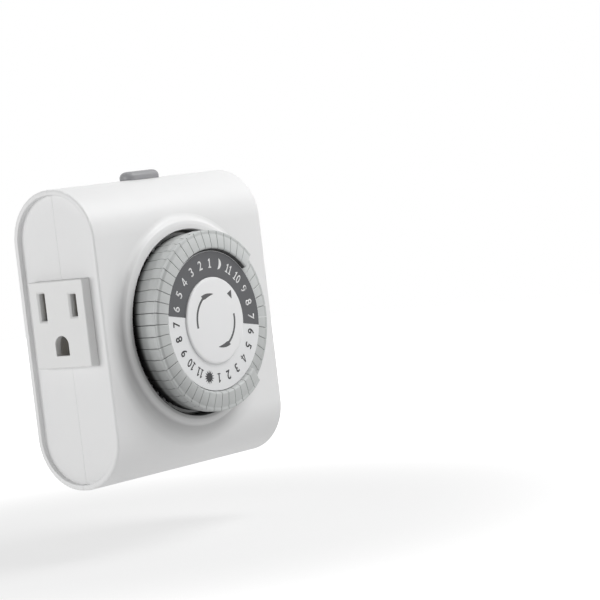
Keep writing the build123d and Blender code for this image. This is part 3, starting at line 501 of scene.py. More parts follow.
OUTLET_EASE = 0.00022
outlet_white = moulded_plastic("outlet_white", (0.78, 0.78, 0.775), 0.36, 0.07)
for side in ("left", "right"):
    wear(eased("outlet_" + side, OUTLET_EASE, "outlet_block_" + side, segments=3), outlet_white, "case",
         "outlet_plastic", "outlet_block_" + side)

# ------------------------------------------------------------
# The movement: a plate with posts, a small synchronous motor, acetal gears and a
# follower lever, all behind the dial and screwed to posts of the front half.

plate_plastic = moulded_plastic("plate_plastic", (0.70, 0.70, 0.67), 0.46, 0.12)
gear_plastic = moulded_plastic("gear_plastic", (0.83, 0.81, 0.74), 0.34, 0.05)
lever_plastic = moulded_plastic("lever_plastic", (0.05, 0.05, 0.055), 0.42, 0.10)
motor_steel = drawn_metal("motor_steel", (0.58, 0.59, 0.60), 0.38, "Y", 0.08)
spring_steel = drawn_metal("spring_steel", (0.55, 0.55, 0.56), 0.26, "X", 0.06)
dress("movement_plate", plate_plastic)
for gear in ("dial_gear", "reduction_gear", "motor_pinion"):
    dress(gear, gear_plastic)
dress("follower_lever", lever_plastic)
dress("lever_pin", screw_steel)
dress("plate_screws", screw_steel)
dress("clutch_spring", spring_steel)
dress("motor_can", motor_steel)


def wound_copper(name, x, z):
    """Enamelled copper wire, wound in fine even turns round the motor's axis."""
    finish, tone = blank_finish(name)
    place = tone.node("ShaderNodeTexCoord", {}, {}, "Object")
    centred = tone.node("ShaderNodeMapping", {}, {"Vector": place, "Location": (-x, 0.0, -z)})
    turns = tone.node("ShaderNodeTexWave", {"wave_type": "BANDS", "bands_direction": "Y"}, {
        "Vector": centred, "Scale": 900.0, "Distortion": 0.4, "Detail": 1.0})
    cloud = tone.node("ShaderNodeTexNoise", {}, {"Vector": place, "Scale": 300.0, "Detail": 3.0})
    tint = tone.node("ShaderNodeMix", {"data_type": "RGBA"}, {
        0: turns * 0.6 + cloud * 0.4, 6: (0.36, 0.12, 0.04, 1.0), 7: (0.70, 0.30, 0.12, 1.0)}, 2)
    relief = tone.node("ShaderNodeBump", {}, {"Strength": 0.5, "Distance": 0.0001, "Height": turns})
    wire = tone.node("ShaderNodeBsdfPrincipled", {}, {
        "Base Color": tint, "Metallic": 0.7, "Roughness": 0.30 + cloud * 0.1, "Normal": relief})
    tone.node("ShaderNodeOutputMaterial", {}, {"Surface": wire})
    return finish


MOTOR_X, MOTOR_Z = 0.018392, -0.025082
dress("motor_coil", wound_copper("coil_copper", MOTOR_X, MOTOR_Z))
dress("motor_rotor", moulded_plastic("rotor_ferrite", (0.035, 0.035, 0.037), 0.52, 0.20))
dress("motor_lead_neutral", moulded_plastic("lead_white", (0.76, 0.76, 0.74), 0.44, 0.06))
dress("motor_lead_hot", moulded_plastic("lead_black", (0.025, 0.025, 0.026), 0.40, 0.06))

# ------------------------------------------------------------
# The front half of the case: the same satin moulding, with a raised ring round
# the dial well, a collar behind it and posts for the movement plate.

OPENING_R, RING_RISE = 0.0285, 0.0019
FLAT_Z, DRAPE_R, DRAPE_W = 0.0295, 0.0310, 0.0020
COLLAR_R, COLLAR_BACK, RING_FOOT = 0.0294, 0.0040, 0.00345
RING_SECTION = (
    (0.0, 0.00055), (0.00008, 0.00028), (0.00025, 0.00010), (0.00050, 0.00004), (0.00135, 0.00016),
    (0.00160, 0.00014), (0.00185, 0.00020), (0.00230, 0.00032), (0.00260, 0.00036), (0.00285, 0.00048),
    (0.00310, 0.00072), (0.00340, 0.00110), (0.00375, 0.00146), (0.00420, 0.00170), (0.00470, 0.00182),
    (0.00520, 0.00188), (0.00570, 0.00202), (0.00570, RING_FOOT))
WELL_CUT_R, WELL_CUT_OUT, WELL_CUT_IN = 0.0287, 0.004, 0.006
WELL_STEPS, POST_STEPS = 192, 24
PLATE_POST_X, PLATE_POST_Z, PLATE_POST_R = 0.0270, 0.0330, 0.0026
PLATE_POST_END_Y, PLATE_POST_ROOT_Y = -0.0267, -0.0315
FRONT_BOSS_R = 0.0024
FRONT_Y = -CASE_D
RING_Y = FRONT_Y - RING_RISE
# Painted shade round the ring: bands of the front case's white darkened towards black, strongest on the low
# left.
RING_SHADE_IN_R, RING_SHADE_OUT_R = 0.0280, 0.0400
RING_SHADE_BANDS = [(0.0, 0.97), (0.058, 0.97), (0.085, 0.56), (0.12, 0.52), (0.17, 0.24), (0.26, 0.16),
              (0.34, 0.46), (0.45, 0.32), (0.62, 0.14), (0.85, 0.0)]
RING_SHADE_LEFT, RING_SHADE_DOWN, RING_SHADE_FULL, RING_SHADE_LEAST = 0.6, 0.8, 0.020, 0.05


def shade_ring_foot(finish):
    """Paints shade on the foot of the ring, darkest next to the opening and most on its low left side."""
    tone = Tone(finish.node_tree)
    shell = next(node for node in finish.node_tree.nodes if node.type == "BSDF_PRINCIPLED")
    unshaded = Tone(finish.node_tree, shell.inputs["Base Color"].links[0].from_socket)
    place = tone.node("ShaderNodeTexCoord", {}, {}, "Object")
    across, height = place.axis("X"), place.axis("Z")
    radius = tone.node("ShaderNodeMath", {"operation": "SQRT"}, {0: across * across + height * height})
    band = tone.node("ShaderNodeValToRGB", {"stops": RING_SHADE_BANDS}, {0: radius.ramp(RING_SHADE_IN_R, RING_SHADE_OUT_R)})
    low = (0.0 - across * RING_SHADE_LEFT - height * RING_SHADE_DOWN).ramp(0.0, RING_SHADE_FULL, RING_SHADE_LEAST)
    tint = tone.node("ShaderNodeMix", {"data_type": "RGBA"}, {
        0: band * low, 6: unshaded, 7: (0.0, 0.0, 0.0, 1.0)}, 2)
    tone.tree.links.new(tint.socket, shell.inputs["Base Color"])
    return finish


front = case_half("front_case", -1)
for x, z in SCREW_PLACES:
    work(front, turned("boss", [
        (0.0, MID_Y - BOSS_GAP), (FRONT_BOSS_R, MID_Y - BOSS_GAP),
        (FRONT_BOSS_R, FRONT_Y + BOSS_ROOT), (0.0, FRONT_Y + BOSS_ROOT)], x, z, POST_STEPS), "UNION")
for x in (-PLATE_POST_X, PLATE_POST_X):
    for z in (-PLATE_POST_Z, PLATE_POST_Z):
        work(front, turned("plate_post", [
            (0.0, PLATE_POST_END_Y), (PLATE_POST_R, PLATE_POST_END_Y),
            (PLATE_POST_R, PLATE_POST_ROOT_Y), (0.0, PLATE_POST_ROOT_Y)], x, z, POST_STEPS), "UNION")
work(front, turned("well_cut", [
    (0.0, FRONT_Y - WELL_CUT_OUT), (WELL_CUT_R, FRONT_Y - WELL_CUT_OUT),
    (WELL_CUT_R, FRONT_Y + WELL_CUT_IN), (0.0, FRONT_Y + WELL_CUT_IN)], steps=WELL_STEPS), "DIFFERENCE")
ring_profile = [(COLLAR_R, FRONT_Y + COLLAR_BACK), (OPENING_R, FRONT_Y + COLLAR_BACK)]
ring_profile += [(OPENING_R + out, RING_Y + back) for out, back in RING_SECTION]
ring_profile.append((COLLAR_R, RING_Y + RING_FOOT))
ring = turned("well_ring", ring_profile, steps=WELL_STEPS)
# The skirt of the ring bends over the rounded edges of the case, above and below the dial.
for vertex in ring.data.vertices:
    height = max(abs(vertex.co.z) - FLAT_Z, 0.0)
    reach = (vertex.co.x ** 2 + vertex.co.z ** 2) ** 0.5
    share = min(max((reach - DRAPE_R) / DRAPE_W, 0.0), 1.0)
    vertex.co.y += (CASE_R - (CASE_R ** 2 - height ** 2) ** 0.5) * share * share * (3.0 - 2.0 * share)
work(front, ring, "UNION")
open_sides(front)
smooth(front)
# The front case's white carries painted shade round the ring's foot.
wear(front, shade_ring_foot(moulded_plastic("front_abs", (0.80, 0.80, 0.80), 0.40, 0.10)), "case", "case_plastic",
     "front_shell")

# ------------------------------------------------------------
# The override slide: a button of grey moulded plastic that rides in a slot across
# the top of the case, with a foot that keeps it in.

BUTTON_W, BUTTON_D, BUTTON_R, BUTTON_X = 0.0150, 0.0060, 0.0027, 0.0027
BUTTON_CURVE = [(0.0, 0.0), (0.0, 0.00085), (0.00010, 0.00130), (0.00034, 0.00176), (0.00075, 0.00216),
                (0.00130, 0.00244), (0.00190, 0.00258), (0.00235, 0.00262)]
BUTTON_CLEAR, BUTTON_CREST_R, BUTTON_CORNER_STEPS = 0.00005, 0.00015, 10
STEM_HALF_W, STEM_HALF_D, STEM_RISE = 0.0015, 0.0010, 0.0006
BUTTON_FOOT_HALF_W, BUTTON_FOOT_HALF_D = 0.0045, 0.0025
BUTTON_FOOT_LOW, BUTTON_FOOT_HIGH = 0.0421, 0.0433


def button_shape():
    """The button above the case: a long pill with a domed crown, its underside curved like the case's top."""
    shape = bmesh.new()
    loops = []
    for inset, rise in BUTTON_CURVE:
        radius = max(BUTTON_R - inset, BUTTON_CREST_R)
        reach_x, reach_y = [max(size / 2 - inset - radius, 0.0) for size in (BUTTON_W, BUTTON_D)]
        loop = []
        for quarter, (side_x, side_y) in enumerate(((1, 1), (-1, 1), (-1, -1), (1, -1))):
            for k in range(BUTTON_CORNER_STEPS + 1):
                turn = (quarter + k / BUTTON_CORNER_STEPS) * pi / 2
                x, y = side_x * reach_x + radius * cos(turn), side_y * reach_y + radius * sin(turn)
                over = max(abs(y) - CASE_D / 2 + CASE_R, 0.0)
                z = CASE_H / 2 - CASE_R + (CASE_R ** 2 - over ** 2) ** 0.5 + BUTTON_CLEAR
                if rise:
                    z = max(CASE_H / 2 + rise, z)
                loop.append(shape.verts.new((BUTTON_X + x, MID_Y + y, z)))
        loops.append(loop)
    for low, high in zip(loops, loops[1:]):
        for k in range(len(low)):
            shape.faces.new((low[k - 1], low[k], high[k], high[k - 1]))
    for cap in (loops[0], loops[-1]):
        shape.faces.new(cap)
    bmesh.ops.remove_doubles(shape, verts=shape.verts, dist=2e-6)
    bmesh.ops.triangulate(shape, faces=[face for face in shape.faces if len(face.verts) > 4])
    bmesh.ops.recalc_face_normals(shape, faces=shape.faces)
    return shape


button = new_piece("override_button", button_shape())
work(button, block("stem", (BUTTON_X - STEM_HALF_W, MID_Y - STEM_HALF_D, BUTTON_FOOT_LOW),
                   (BUTTON_X + STEM_HALF_W, MID_Y + STEM_HALF_D, CASE_H / 2 + STEM_RISE)), "UNION")
work(button, block("foot", (BUTTON_X - BUTTON_FOOT_HALF_W, MID_Y - BUTTON_FOOT_HALF_D, BUTTON_FOOT_LOW),
                   (BUTTON_X + BUTTON_FOOT_HALF_W, MID_Y + BUTTON_FOOT_HALF_D, BUTTON_FOOT_HIGH)), "UNION")
smooth(button)
slide_grey = moulded_plastic("slide_grey", (0.27, 0.27, 0.28), 0.42, 0.12)
wear(button, slide_grey, "override", "slide_plastic", "override_slide")

# ------------------------------------------------------------
# The dial: a drum of white moulded plastic with a flat face, on which 24 hours are
# printed. Half of it is dark for the night, with a moon at midnight and a sun at noon.

FACE_Y = -0.0423
FACE_IN_R, FACE_OUT_R = 0.01334, 0.02126
DIAL_TURN, PRINT_TURN = 19.0, 17.9
NIGHT_FROM, NIGHT_TO = -97.5, 82.5
HOUR_ANGLE = 15.0
INK_T = 0.00003
FIGURE_H, FIGURE_AT_R = 0.0029, 0.0176
BAND_STEPS, DRUM_EASE = 90, 0.00015

dial_white = moulded_plastic("dial_white", (0.80, 0.805, 0.81), 0.42, 0.06)
wear(eased("dial_drum", DRUM_EASE, "dial"), dial_white, "dial", "dial_plastic", "dial")


def on_dial(radius, clock, y):
    """A point by its radius and its angle, clockwise from the top as seen from the front."""
    return (radius * sin(radians(clock)), y, radius * cos(radians(clock)))


def ink_patch(name, outline, y):
    """A closed slip of ink, from its outline of (radius, clock angle) and the height of what it lies on."""
    shape = bmesh.new()
    top = [shape.verts.new(on_dial(radius, clock, y - INK_T)) for radius, clock in outline]
    foot = [shape.verts.new(on_dial(radius, clock, y + INK_T)) for radius, clock in outline]
    shape.faces.new(top)
    shape.faces.new(foot)
    for k in range(len(top)):
        shape.faces.new((top[k - 1], top[k], foot[k], foot[k - 1]))
    shape.normal_update()
    bmesh.ops.triangulate(shape, faces=[face for face in shape.faces if len(face.verts) > 4])
    bmesh.ops.recalc_face_normals(shape, faces=shape.faces)
    return new_piece(name, shape)


def arc(radius, start, stop, steps):
    """Points of (radius, clock angle) along a round line."""
    return [(radius, start + (stop - start) * k / steps) for k in range(steps + 1)]


def print_ink(name, colour):
    """Screen-printed ink: an even film, a little patchy, with a soft sheen."""
    finish, tone = blank_finish(name)
    place = tone.node("ShaderNodeTexCoord", {}, {}, "Object")
    film = tone.node("ShaderNodeTexNoise", {}, {
        "Vector": place, "Scale": 260.0, "Detail": 4.0, "Roughness": 0.6})
    mesh_mark = tone.node("ShaderNodeTexNoise", {}, {"Vector": place, "Scale": 3600.0, "Detail": 1.0})
    tint = tone.node("ShaderNodeMix", {"data_type": "RGBA"}, {
        0: film * 0.7 + mesh_mark * 0.3,
        6: tuple(c * 0.88 for c in colour) + (1.0,),
        7: tuple(min(c * 1.12, 1.0) for c in colour) + (1.0,)}, 2)
    relief = tone.node("ShaderNodeBump", {}, {"Strength": 0.05, "Distance": 0.00002, "Height": mesh_mark})
    ink = tone.node("ShaderNodeBsdfPrincipled", {}, {
        "Base Color": tint, "Roughness": 0.40 + film * 0.10, "Normal": relief})
    tone.node("ShaderNodeOutputMaterial", {}, {"Surface": ink})
    return finish


def lay_ink(piece, finish, body):
    """Puts a slip of ink on its body."""
    piece.data.materials.append(finish)
    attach(piece, body)


night_ink = print_ink("night_ink", (0.090, 0.092, 0.098))
dark_ink = print_ink("dark_ink", (0.030, 0.030, 0.033))
white_ink = print_ink("white_ink", (0.80, 0.80, 0.80))
night = ink_patch("night_band", arc(FACE_OUT_R, PRINT_TURN + NIGHT_FROM, PRINT_TURN + NIGHT_TO, BAND_STEPS)
                  + arc(FACE_IN_R, PRINT_TURN + NIGHT_TO, PRINT_TURN + NIGHT_FROM, BAND_STEPS), FACE_Y)
lay_ink(night, night_ink, "dial")

ONE = ((-0.24, 0.0), (0.24, 0.0), (0.24, 0.12), (0.08, 0.12), (0.08, 1.0), (-0.02, 1.0),
       (-0.25, 0.80), (-0.19, 0.70), (-0.08, 0.79), (-0.08, 0.12), (-0.24, 0.12))
FOUR = ((0.43, 0.0), (0.54, 0.0), (0.54, 0.24), (0.68, 0.24), (0.68, 0.34), (0.54, 0.34), (0.54, 1.0),
        (0.41, 1.0), (0.0, 0.34), (0.0, 0.24), (0.43, 0.24), (0.43, 0.34), (0.43, 0.82), (0.13, 0.34))
FOUR_FACES = ((0, 1, 2, 10), (10, 2, 5, 11), (2, 3, 4, 5), (11, 5, 6, 12), (12, 6, 7), (12, 7, 8, 13),
              (9, 10, 11, 13, 8))
LETTER_GAP, LETTER_BOLD, LONE_SQUEEZE, PAIR_SQUEEZE = 0.15, 0.012, 0.92, 0.80


def letter(sign):
    """One figure as flat faces of height 1, and its width. The one and the four are drawn from listed
    outlines.
    """
    shape = bmesh.new()
    if sign in "14":
        outline, faces = (ONE, (range(len(ONE)),)) if sign == "1" else (FOUR, FOUR_FACES)
        points = [shape.verts.new((x, y, 0.0)) for x, y in outline]
        for face in faces:
            shape.faces.new([points[k] for k in face])
        shape.normal_update()
        bmesh.ops.triangulate(shape, faces=shape.faces[:])
    else:
        letters = bpy.data.curves.new("figure", "FONT")
        letters.body = sign
        letters.offset = LETTER_BOLD
        holder = bpy.data.objects.new("figure", letters)
        scene.collection.objects.link(holder)
        shape.from_mesh(as_made(holder))
        bpy.data.objects.remove(holder)
        bmesh.ops.remove_doubles(shape, verts=shape.verts, dist=1e-5)
    low = Vector([min(vertex.co[k] for vertex in shape.verts) for k in range(3)])
    high = Vector([max(vertex.co[k] for vertex in shape.verts) for k in range(3)])
    for vertex in shape.verts:
        vertex.co = (vertex.co - low) / (high.y - low.y)
    return shape, (high.x - low.x) / (high.y - low.y)


def printed(across, up, clock, y):
    """A point of the print, by its place across and up from the dial's axis at a clock angle."""
    return on_dial((across ** 2 + up ** 2) ** 0.5, clock + atan2(across, up) * 180 / pi, y)


def take_in(whole, shape):
    """Moves a shape into a larger one."""
    part = bpy.data.meshes.new("part")
    shape.to_mesh(part)
    shape.free()
    whole.from_mesh(part)
    bpy.data.meshes.remove(part)


def figure(words, clock):
    """One printed hour figure, its top outwards."""
    signs = [letter(sign) for sign in words]
    left = -(sum(width for _, width in signs) + LETTER_GAP * (len(signs) - 1)) / 2
    squeeze = FIGURE_H * (PAIR_SQUEEZE if len(signs) > 1 else LONE_SQUEEZE)
    row = bmesh.new()
    for shape, width in signs:
        for vertex in shape.verts:
            across = (vertex.co.x + left) * squeeze
            up = FIGURE_AT_R + (vertex.co.y - 0.5) * FIGURE_H
            vertex.co = printed(across, up, clock, FACE_Y - INK_T)
        take_in(row, shape)
        left += width + LETTER_GAP
    raised = bmesh.ops.extrude_face_region(row, geom=row.faces[:], use_keep_orig=True)
    for part in raised["geom"]:
        if isinstance(part, bmesh.types.BMVert):
            part.co.y -= INK_T
    bmesh.ops.recalc_face_normals(row, faces=row.faces)
    return row


def joined(name, shapes):
    """Several shapes as one piece."""
    whole = bmesh.new()
    for shape in shapes:
        take_in(whole, shape)
    return new_piece(name, whole)


def mark(outline, clock):
    """A small closed figure of (across, up) points, about the middle of the figures' ring."""
    shape = bmesh.new()
    rows = [[shape.verts.new(printed(across, up + FIGURE_AT_R, clock, FACE_Y - lift * INK_T))
             for across, up in outline] for lift in (1, 2)]
    shape.faces.new(rows[0])
    shape.faces.new(rows[1])
    for k in range(len(outline)):
        shape.faces.new((rows[0][k - 1], rows[0][k], rows[1][k], rows[1][k - 1]))
    shape.normal_update()
    bmesh.ops.triangulate(shape, faces=[face for face in shape.faces if len(face.verts) > 4])
    bmesh.ops.recalc_face_normals(shape, faces=shape.faces)
    return shape


SUN_R, SUN_DISC_R, SUN_RAYS = 0.00220, 0.00118, 14
MOON_R, MOON_INNER_R, MOON_BACK = 0.00172, 0.0040, 0.0009
MOON_FROM, MOON_SWEEP, MOON_STEPS = 8.0, 164.0, 24
sun_turns = [radians(k * 180.0 / SUN_RAYS) for k in range(2 * SUN_RAYS)]
sun_outline = [((SUN_R if k % 2 else SUN_DISC_R) * sin(turn), (SUN_R if k % 2 else SUN_DISC_R) * cos(turn))
               for k, turn in enumerate(sun_turns)]
outer_turns = [MOON_FROM + k * (MOON_SWEEP / MOON_STEPS) for k in range(MOON_STEPS + 1)]
moon_outline = [(MOON_R * sin(radians(turn)) - MOON_BACK, MOON_R * cos(radians(turn)))
                for turn in outer_turns]
tip_x, tip_up = moon_outline[-1]
inner_centre = tip_x - (MOON_INNER_R ** 2 - tip_up ** 2) ** 0.5
inner_half = atan2(-tip_up, tip_x - inner_centre) * 180 / pi
moon_outline += [(inner_centre + MOON_INNER_R * cos(radians(turn)), -MOON_INNER_R * sin(radians(turn)))
                 for turn in (inner_half - k * (2 * inner_half / MOON_STEPS) for k in range(1, MOON_STEPS))]

light_figures, dark_figures = [], []
hours = ["moon", "11", "10", "9", "8", "7", "6", "5", "4", "3", "2", "1",
         "sun", "11", "10", "9", "8", "7", "6", "5", "4", "3", "2", "1"]
for step, words in enumerate(hours):
    clock = PRINT_TURN + HOUR_ANGLE * step
    by_night = step * HOUR_ANGLE < NIGHT_TO or step * HOUR_ANGLE > NIGHT_FROM + 360.0
    if words == "moon":
        light_figures.append(mark(moon_outline, clock))
    elif words == "sun":
        dark_figures.append(mark(sun_outline, clock))
    else:
        (light_figures if by_night else dark_figures).append(figure(words, clock))
lay_ink(joined("night_figures", light_figures), white_ink, "dial")
lay_ink(joined("day_figures", dark_figures), dark_ink, "dial")

# ------------------------------------------------------------
# The tappets: 48 fingers of grey moulded plastic, one for each half hour, that slide
# in the dial's flange. Each has a sloped front, grooved near its outer edge.

TAPPET_IN_R, TAPPET_OUT_R, TAPPET_FOOT_R = 0.0221, 0.02775, 0.0272
TAPPET_LEAN_R, TAPPET_LEAN_LOW, TAPPET_LEAN_HIGH = 0.0216, 0.0006, 0.0001
TAPPET_FRONT_Y = -0.0436
TAPPET_LENGTH, TAPPET_TRAVEL = 0.0101, 0.0021
TAPPET_SLOPE, TAPPET_HALF_GAP = 0.00095, 0.000095
TAPPET_BROW = ((0.0, 0.00034), (0.00030, 0.00010), (0.00050, 0.00008))
TAPPET_GROOVE = ((0.0261, 0.00071), (0.0264, 0.00092), (0.0267, 0.00098), (0.0270, 0.00088))
TAPPET_SIDE = ((0.00030, 0.0), (0.00010, 0.00012), (0.00004, 0.00030), (0.00016, 0.00070), (0.00028, 0.00110),
               (0.00028, 0.00150), (0.00010, 0.00185), (0.0, 0.00230), (0.0, 0.00350), (0.00010, 0.00400),
               (0.00030, 0.00440))
TAPPET_STEPS = 6
TAIL_IN_R, TAIL_OUT_R, TAIL_HALF_W, TAIL_LENGTH = 0.0236, 0.0262, 0.0008, 0.0028
STEP_ANGLE = 7.5
FIRST_PUSHED, LAST_PUSHED = 2, 7
TAPPET_EASE, TAPPET_SHARP_OVER, TAPPET_EASE_OVER = 0.00010, 40.0, 50.0
# Painted shade on the tappets: a dark foot by the ring, a dark inner wall, a dark band in the groove and a
# darkening towards the low left.
FOOT_SHADE_FROM_Y, FOOT_SHADE_FULL_Y = -0.0380, -0.0345
FOOT_SHADE_LOW, FOOT_SHADE_HIGH = 2.5, 4.5
LOWER_SHADE_FROM_Y, LOWER_SHADE_FULL_Y, LOWER_SHADE_LOW, LOWER_SHADE_SHARE = -0.0420, -0.0350, 9.0, 0.66
LOWER_SHADE_FROM_Z, LOWER_SHADE_FULL_Z, LOWER_SHADE_LEAST = 0.008, -0.012, 0.12
GROOVE_IN_R, GROOVE_OUT_R = 0.0254, 0.0274
GROOVE_BANDS = [(0.0, 0.0), (0.18, 0.0), (0.38, 0.26), (0.66, 0.26), (0.84, 0.0), (1.0, 0.0)]
GROOVE_FROM_X, GROOVE_FULL_X = 0.010, 0.020
WALL_FROM_R, WALL_TO_R = TAPPET_IN_R + 0.00006, TAPPET_IN_R + 0.00018
WALL_FROM_Z, WALL_FULL_Z, WALL_SHARE, WALL_SUNK_SHARE = 0.004, 0.012, 0.92, 0.12
SUNK_FROM_Y, SUNK_FULL_Y = FACE_Y - 0.0002, FACE_Y + 0.0004
UNDER_FROM_Y, UNDER_FULL_Y = TAPPET_FRONT_Y + 0.00025, TAPPET_FRONT_Y + 0.00060


def tappet_blank():
    """One tappet at the top of the dial, pulled out."""
    half = STEP_ANGLE / 2 - asin(TAPPET_HALF_GAP / TAPPET_OUT_R) * 180 / pi
    back = TAPPET_FRONT_Y + TAPPET_LENGTH
    section = [(TAPPET_IN_R, back)]
    section += [(TAPPET_LEAN_R, FACE_Y + drop) for drop in (TAPPET_LEAN_LOW, TAPPET_LEAN_HIGH)]
    section += [(TAPPET_IN_R + out, TAPPET_FRONT_Y + drop) for out, drop in TAPPET_BROW]
    section += [(radius, TAPPET_FRONT_Y + drop) for radius, drop in TAPPET_GROOVE]
    section += [(TAPPET_OUT_R - inset, TAPPET_FRONT_Y + TAPPET_SLOPE + drop) for inset, drop in TAPPET_SIDE]
    section.append((TAPPET_FOOT_R, back))
    shape = bmesh.new()
    rows = [[shape.verts.new(on_dial(radius, half * (2 * k / TAPPET_STEPS - 1), y)) for radius, y in section]
            for k in range(TAPPET_STEPS + 1)]
    for near, far in zip(rows, rows[1:]):
        for k in range(len(section)):
            shape.faces.new((near[k - 1], near[k], far[k], far[k - 1]))
    shape.faces.new(rows[0])
    shape.faces.new(rows[-1])
    tail = [shape.verts.new((x, y, z)) for y in (back, back + TAIL_LENGTH)
            for x, z in ((-TAIL_HALF_W, TAIL_IN_R), (TAIL_HALF_W, TAIL_IN_R),
                         (TAIL_HALF_W, TAIL_OUT_R), (-TAIL_HALF_W, TAIL_OUT_R))]
    for corners in ((0, 1, 2, 3), (4, 5, 6, 7), (0, 1, 5, 4), (1, 2, 6, 5), (2, 3, 7, 6), (3, 0, 4, 7)):
        shape.faces.new([tail[k] for k in corners])
    bmesh.ops.recalc_face_normals(shape, faces=shape.faces)
    piece = new_piece("tappet_blank", shape)
    for face in piece.data.polygons:
        face.use_smooth = True
    piece.data.set_sharp_from_angle(angle=radians(TAPPET_SHARP_OVER))
    edge = piece.modifiers.new("eased_edges", "BEVEL")
    edge.width = TAPPET_EASE
    edge.segments = 2
    edge.limit_method = "ANGLE"
    edge.angle_limit = radians(TAPPET_EASE_OVER)
    return piece


def tappet_row_tree():
    """Geometry nodes: copies of the blank, turned about the dial's axis in even steps and pushed in."""
    tree = bpy.data.node_groups.new("tappet_row", "GeometryNodeTree")
    face = tree.interface
    face.new_socket("Blank", in_out="INPUT", socket_type="NodeSocketGeometry")
    sockets = {}
    for name, kind in (("Count", "NodeSocketInt"), ("First Turn", "NodeSocketFloat"),
                       ("Step Turn", "NodeSocketFloat"), ("Pushed In", "NodeSocketFloat"),
                       ("Finish", "NodeSocketMaterial")):
        sockets[name] = face.new_socket(name, in_out="INPUT", socket_type=kind).identifier
    face.new_socket("Row", in_out="OUTPUT", socket_type="NodeSocketGeometry")
    make = tree.nodes.new
    link = tree.links.new
    given = make("NodeGroupInput")
    handed = make("NodeGroupOutput")
    points = make("GeometryNodePoints")
    number = make("GeometryNodeInputIndex")
    turn = make("ShaderNodeMath")
    turn.operation = "MULTIPLY_ADD"
    spin = make("ShaderNodeCombineXYZ")
    push = make("ShaderNodeCombineXYZ")
    copies = make("GeometryNodeInstanceOnPoints")
    solid = make("GeometryNodeRealizeInstances")
    paint = make("GeometryNodeSetMaterial")
    link(given.outputs["Count"], points.inputs["Count"])
    link(given.outputs["Pushed In"], push.inputs["Y"])
    link(push.outputs["Vector"], points.inputs["Position"])
    link(number.outputs["Index"], turn.inputs[0])
    link(given.outputs["Step Turn"], turn.inputs[1])
    link(given.outputs["First Turn"], turn.inputs[2])
    link(turn.outputs["Value"], spin.inputs["Y"])
    link(points.outputs[0], copies.inputs["Points"])
    link(given.outputs["Blank"], copies.inputs["Instance"])
    link(spin.outputs["Vector"], copies.inputs["Rotation"])
    link(copies.outputs["Instances"], solid.inputs["Geometry"])
    link(solid.outputs["Geometry"], paint.inputs["Geometry"])
    link(given.outputs["Finish"], paint.inputs["Material"])
    link(paint.outputs["Geometry"], handed.inputs["Row"])
    return tree, sockets


def tappet_plastic(name, colour, shade):
    """Grey moulded tappets with painted shade: dark at the foot and on the wall inside, in a band of the
    groove on the left, and darker towards the low left.
    """
    finish, tone = blank_finish(name)
    place = tone.node("ShaderNodeTexCoord", {}, {}, "Object")
    across, up, reach = place.axis("X"), place.axis("Z"), place.axis("Y")
    radius = tone.node("ShaderNodeMath", {"operation": "SQRT"}, {0: across * across + up * up})
    left, low, high = (0.0 - across).most(0.0), (0.0 - up).most(0.0), up.most(0.0)
    foot = (reach + left * (low * FOOT_SHADE_LOW - high * FOOT_SHADE_HIGH)).ramp(
        FOOT_SHADE_FROM_Y, FOOT_SHADE_FULL_Y, curve="SMOOTHSTEP")
    under = up.ramp(WALL_FROM_Z, WALL_FULL_Z, 0.0, WALL_SHARE) * reach.ramp(UNDER_FROM_Y, UNDER_FULL_Y)
    wall = (reach.ramp(SUNK_FROM_Y, SUNK_FULL_Y) * WALL_SUNK_SHARE).most(under)
    lower_shade = (reach + left * low * LOWER_SHADE_LOW).ramp(LOWER_SHADE_FROM_Y, LOWER_SHADE_FULL_Y, 0.0, LOWER_SHADE_SHARE)
    groove = tone.node("ShaderNodeValToRGB", {"stops": GROOVE_BANDS}, {
        0: radius.ramp(GROOVE_IN_R, GROOVE_OUT_R)})
    low_and_groove_shade = (lower_shade * up.ramp(LOWER_SHADE_FROM_Z, LOWER_SHADE_FULL_Z, LOWER_SHADE_LEAST)).most(
        groove * left.ramp(GROOVE_FROM_X, GROOVE_FULL_X))
    tappet_shade = (radius.ramp(WALL_FROM_R, WALL_TO_R, 1.0, 0.0) * wall).most(foot).most(low_and_groove_shade)
    cloud = tone.node("ShaderNodeTexNoise", {}, {
        "Vector": place, "Scale": 190.0, "Detail": 4.0, "Roughness": 0.6})
    grain = tone.node("ShaderNodeTexNoise", {}, {"Vector": place, "Scale": 3600.0, "Detail": 2.0})
    plain = tone.node("ShaderNodeMix", {"data_type": "RGBA"}, {
        0: cloud, 6: tuple(c * 0.94 for c in colour) + (1.0,),
        7: tuple(c * 1.05 for c in colour) + (1.0,)}, 2)
    tint = tone.node("ShaderNodeMix", {"data_type": "RGBA"}, {0: tappet_shade, 6: plain, 7: shade + (1.0,)}, 2)
    relief = tone.node("ShaderNodeBump", {}, {"Strength": 0.10, "Distance": 0.00003, "Height": grain})
    shell = tone.node("ShaderNodeBsdfPrincipled", {}, {
        "Base Color": tint, "Roughness": 0.42 + cloud * 0.08, "Normal": relief})
    tone.node("ShaderNodeOutputMaterial", {}, {"Surface": shell})
    return finish


